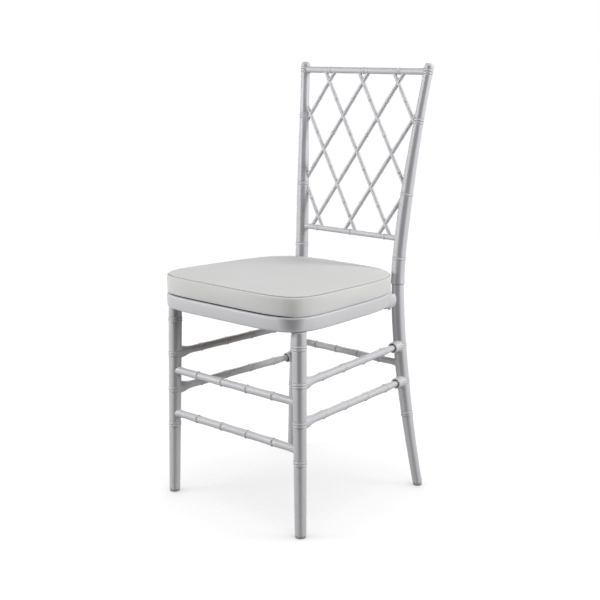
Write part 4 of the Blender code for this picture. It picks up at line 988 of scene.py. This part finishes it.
# seam pressed into the cover and painted with shade, with small puckers beside it and a painted highlight
# where the cloth would puff
def sewSeam(piece, cushion):
    mesh, reliefs = piece.data, []
    runs = [item.value for item in mesh.attributes["seamRun"].data]
    normals = [vert.normal.copy() for vert in mesh.vertices]
    for vert, normal, run in zip(mesh.vertices, normals, runs):
        depth, beside = hump(run, cushion["seamWidth"]), abs(run) - cushion["puffReach"]
        around = math.atan2(vert.co.y - seatSettings["middleY"], vert.co.x) * seatSettings["halfWidth"]
        sway = cushion["puckerSway"] * math.sin(around * cushion["swayTurn"])
        wave = math.sin(2 * math.pi * around / cushion["puckerPitch"] + sway)
        pull = 0.0
        if run > cushion["farRun"] / 2:       # not on the floor panel
            pull = cushion["pucker"] * wave * hump(beside, cushion["puckerReach"])
        vert.co -= normal * (cushion["seamDepth"] * depth + pull * (1 - depth))
        # painted shade in the seam and a painted highlight beside it
        reliefs.append(cushion["puff"] * hump(beside, cushion["puffWidth"]) - depth)
    mesh.attributes.new("relief", "FLOAT", "POINT").data.foreach_set("value", reliefs)


def makeCushion():
    bm = bmesh.new()
    fillCushion(bm)
    mesh = bpy.data.meshes.new("cushionPad")
    bm.to_mesh(mesh)
    bm.free()
    piece = bpy.data.objects.new("cushionPad", mesh)
    piece.vertex_groups.new(name="held")
    bpy.context.scene.collection.objects.link(piece)
    runCloth(piece, clothSettings)
    subdivide(piece, cushionSettings["finer"])
    sewSeam(piece, cushionSettings)
    piece.vertex_groups.clear()
    piece.data.materials.append(finishes["cushion_cover"])
    piece.data.shade_smooth()
    dress(piece, "cushion", cushionBody)


makeCushion()
print("cushion ready")


# glides, screws, bolts and pads
glideSettings = dict(
    height=0.0045, edge=0.0015, lip=0.0004, inset=0.0008, stem=0.0030, stemLength=0.0120, steps=5, sides=48)


def makeGlide(node, foot, footRadius):
    shell, glide = newShell(), glideSettings
    radius, edge, lip = footRadius - glide["inset"], glide["edge"], glide["lip"]
    profile = [(0.0, radius - edge, 0.0)]
    for step in range(1, glide["steps"] + 1):
        turn = math.pi / 2 * step / glide["steps"]
        profile.append((edge * (1 - math.cos(turn)), radius - edge * (1 - math.sin(turn)), 0.0))
    height, stem = glide["height"], glide["stem"]
    profile += [(height - lip, radius, 0.0), (height, radius - lip, 0.0), (height, stem, 0.0),
                (height + glide["stemLength"], stem, 0.0)]
    addLathe(shell, Vector((foot.x, foot.y, 0.0)), upAxis, profile, glide["sides"], acrossAxis)
    makePiece(node, shell, "glide_plastic")


for label, side in sideNames.items():
    makeGlide(label + "_front_glide", legPoint(side, levels["legFloor"]), legSettings["footRadius"])
    makeGlide(label + "_back_glide", postPoint(side, levels["legFloor"]), postSettings["footRadius"])

screwSettings = dict(radius=0.0018, head=0.0038, headHeight=0.0022, pitch=0.0013, socket=0.55)
boltSettings = dict(radius=0.0030, head=0.0052, headHeight=0.0030, pitch=0.0010, socket=0.50)
fastenerSettings = dict(
    edge=0.0004, thread=0.0003, crests=(0.0, 0.5, 1.0, 0.5), crestShade=0.6, tipShare=0.55, socketDepth=0.6,
    boltReach=0.0160, screwSink=0.0003, screwStart=0.0140, screwReach=0.0220, steep=0.9, sharp=30, sides=36,
    headShades=(0.4, 0.0, 0.0, -0.4), socketShades=(-1.0, -0.2, 0.3, 0.4))


# head with a six-sided socket at the start, then a threaded shank; painted shade in the socket and thread
# roots, and a lighter head edge
def makeFastener(node, headEnd, tip, own):
    shell, common = newShell(), fastenerSettings
    direction, length = (tip - headEnd).normalized(), (tip - headEnd).length
    reference = upAxis if abs(direction.z) < common["steep"] else acrossAxis
    edge, head, neck, sides = common["edge"], own["head"], own["headHeight"], common["sides"]
    crests = common["crests"]
    steps = int((length - neck) / own["pitch"] * len(crests))
    corners = [(edge, head), (neck - edge, head), (neck, head - edge), (neck, own["radius"])]
    outer = [(*corner, shade) for corner, shade in zip(corners, common["headShades"])]
    for step in range(1, steps):
        crest = crests[step % len(crests)]
        radius = own["radius"] - common["thread"] * (1 - crest)
        outer.append((neck + (length - neck) * step / steps, radius, crest - common["crestShade"]))
    outer.append((length, own["radius"] * common["tipShare"], 0.0))

    def roundRing(run, radius):
        return ringPoints(headEnd + direction * run, direction, radius, sides, reference)

    def hexRing(run, reach):
        centre, third, shrunk = headEnd + direction * run, math.pi / 3, []
        for step, point in enumerate(roundRing(run, 1.0)):
            turn = 2 * math.pi * step / sides % third - third / 2
            shrunk.append(centre + (point - centre) * reach * math.cos(third / 2) / math.cos(turn))
        return shrunk

    rings = [roundRing(run, radius) for run, radius, _ in outer]
    addRings(shell, rings, [relief for _, _, relief in outer], capFirst=False)
    socket, depth = head * own["socket"], neck * common["socketDepth"]
    inward = [hexRing(depth, socket), hexRing(0.0, socket), roundRing(0.0, head - edge), rings[0]]
    addRings(shell, inward, common["socketShades"], capLast=False)
    makePiece(node, shell, "zinc_steel", sharp=common["sharp"])


for label, side in sideNames.items():
    lugZ, common = ringSettings["lugZ"], fastenerSettings
    axis = postPoint(side, lugZ)
    behind = Vector((axis.x, axis.y + postRadius(lugZ), lugZ))
    tip = Vector((axis.x, seatRear(axis.x) - common["boltReach"], lugZ))
    makeFastener(label + "_seat_bolt", behind, tip, boltSettings)
    headEnd = legPoint(side, levels["seatTop"] - common["screwSink"])
    down = (legPoint(side, 0.0) - legPoint(side, levels["ringFloor"])).normalized()
    tip = legPoint(side, levels["ringFloor"] + common["screwStart"]) + down * common["screwReach"]
    makeFastener(label + "_leg_screw", headEnd, tip, screwSettings)
for number in range(1, 5):
    low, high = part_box(f"board_screw_{number}")
    middle = (low + high) / 2
    ends = (Vector((middle.x, middle.y, height)) for height in (low.z, high.z))
    makeFastener(f"board_screw_{number}", *ends, screwSettings)

padSettings = dict(corner=0.0030, edge=0.0003, cornerSteps=5)


def makeTapePad(node, body):
    shell, pad = newShell(), padSettings
    low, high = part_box(node)
    middle, size = (low + high) / 2, (high - low) / 2
    rings = []
    edge = pad["edge"]
    for inset, height in ((edge, low.z), (0.0, low.z + edge), (0.0, high.z - edge), (edge, high.z)):
        ring = []
        for quarter, (signX, signY) in enumerate(((1, 1), (-1, 1), (-1, -1), (1, -1))):
            for step in range(pad["cornerSteps"] + 1):
                turn = math.pi / 2 * (quarter + step / pad["cornerSteps"])
                reach = pad["corner"] - inset
                x = middle.x + signX * (size.x - pad["corner"]) + reach * math.cos(turn)
                y = middle.y + signY * (size.y - pad["corner"]) + reach * math.sin(turn)
                ring.append(Vector((x, y, height)))
        rings.append(ring)
    addRings(shell, rings, [0.0] * len(rings))
    makePiece(node, shell, "hook_tape", body)


for number in range(1, 5):
    makeTapePad(f"hook_pad_{number}", frameBody)
    makeTapePad(f"loop_pad_{number}", cushionBody)
print("glides, fasteners and pads ready")


# pale floor with a painted shadow pool, white surround and soft studio light
stageSettings = dict(
    reach=30.0, segments=96, litColour=(0.10, 0.10, 0.10), bounce=(0.35, 0.35, 0.35),
    openWhite=(0.97, 0.97, 0.97), shadeWhite=(0.54, 0.54, 0.545), shadeReach=0.6,
    shadeSpan=(0.35, 0.90), shadeSamples=16, fadeFrom=0.8, fadeTo=2.6, ambient=0.06)


def seenDirectly(tree):
    path = addNode(tree, "ShaderNodeLightPath").outputs
    seen = mathNode(tree, "ADD", path["Is Camera Ray"], path["Is Glossy Ray"], clamp=True)
    return mathNode(tree, "ADD", seen, path["Is Transmission Ray"], clamp=True)


def makeFloor(settings):
    bm = bmesh.new()
    bmesh.ops.create_circle(bm, cap_ends=True, segments=settings["segments"], radius=settings["reach"])
    mesh = bpy.data.meshes.new("studioFloor")
    bm.to_mesh(mesh)
    bm.free()
    floor = bpy.data.objects.new("studioFloor", mesh)
    bpy.context.scene.collection.objects.link(floor)
    material = bpy.data.materials.new("paleFloor")
    material.use_nodes = True
    tree = material.node_tree
    tree.nodes.clear()
    where = addNode(tree, "ShaderNodeTexCoord").outputs["Object"]
    away = addNode(tree, "ShaderNodeVectorMath", {0: where}, operation="LENGTH").outputs["Value"]
    far = rangeNode(tree, away, settings["fadeFrom"], settings["fadeTo"], 0.0, 1.0)
    # ambient occlusion darkens the floor's own glow: a painted shadow pool under the chair, beside the
    # lamps' real shadow in the lit part
    near = addNode(tree, "ShaderNodeAmbientOcclusion", {"Distance": settings["shadeReach"]},
                   samples=settings["shadeSamples"]).outputs["AO"]
    clear = rangeNode(tree, near, *settings["shadeSpan"], 0.0, 1.0)
    openTone = mixNode(tree, far, settings["openWhite"], (1.0, 1.0, 1.0))
    tone = mixNode(tree, clear, settings["shadeWhite"], openTone)
    white = addNode(tree, "ShaderNodeEmission", {"Color": tone}).outputs[0]
    lit = addNode(tree, "ShaderNodeBsdfDiffuse", {"Color": settings["litColour"]}).outputs[0]
    bounce = addNode(tree, "ShaderNodeBsdfDiffuse", {"Color": settings["bounce"]}).outputs[0]
    pale = addNode(tree, "ShaderNodeAddShader", {0: white, 1: lit}).outputs[0]
    blend = addNode(tree, "ShaderNodeMixShader", {0: seenDirectly(tree), 1: bounce, 2: pale}).outputs[0]
    addNode(tree, "ShaderNodeOutputMaterial", {"Surface": blend})
    mesh.materials.append(material)


def makeWorld(settings):
    world = bpy.data.worlds.new("studioWorld")
    world.use_nodes = True
    tree = world.node_tree
    back = tree.nodes["Background"]
    feed(back.inputs["Color"], (1.0, 1.0, 1.0))
    feed(back.inputs["Strength"], rangeNode(tree, seenDirectly(tree), 0.0, 1.0, settings["ambient"], 1.0))
    bpy.context.scene.world = world


lampSettings = dict(
    leftBox=dict(place=(-1.504, -1.925, 1.339), aim=(0.0, 0.0, 0.45), size=0.9, power=57.0),
    rightBox=dict(place=(2.072, 1.295, 1.70), aim=(0.0, 0.0, 0.45), size=0.9, power=53.0),
    highBox=dict(place=(1.472, -0.655, 1.607), aim=(0.0, 0.0, 0.60), size=1.0, power=18.0),
    backBox=dict(place=(-1.447, 2.067, 1.079), aim=(0.0, 0.0, 0.45), size=1.1, power=14.0))


def makeLamps(settings):
    for name, lamp in settings.items():
        data = bpy.data.lights.new(name, "AREA")
        data.shape, data.size, data.energy = "SQUARE", lamp["size"], lamp["power"]
        light = bpy.data.objects.new(name, data)
        bpy.context.scene.collection.objects.link(light)
        aimAt(light, lamp)


makeFloor(stageSettings)
makeWorld(stageSettings)
makeLamps(lampSettings)
bpy.context.scene.view_settings.view_transform = "Standard"
print("stage ready")
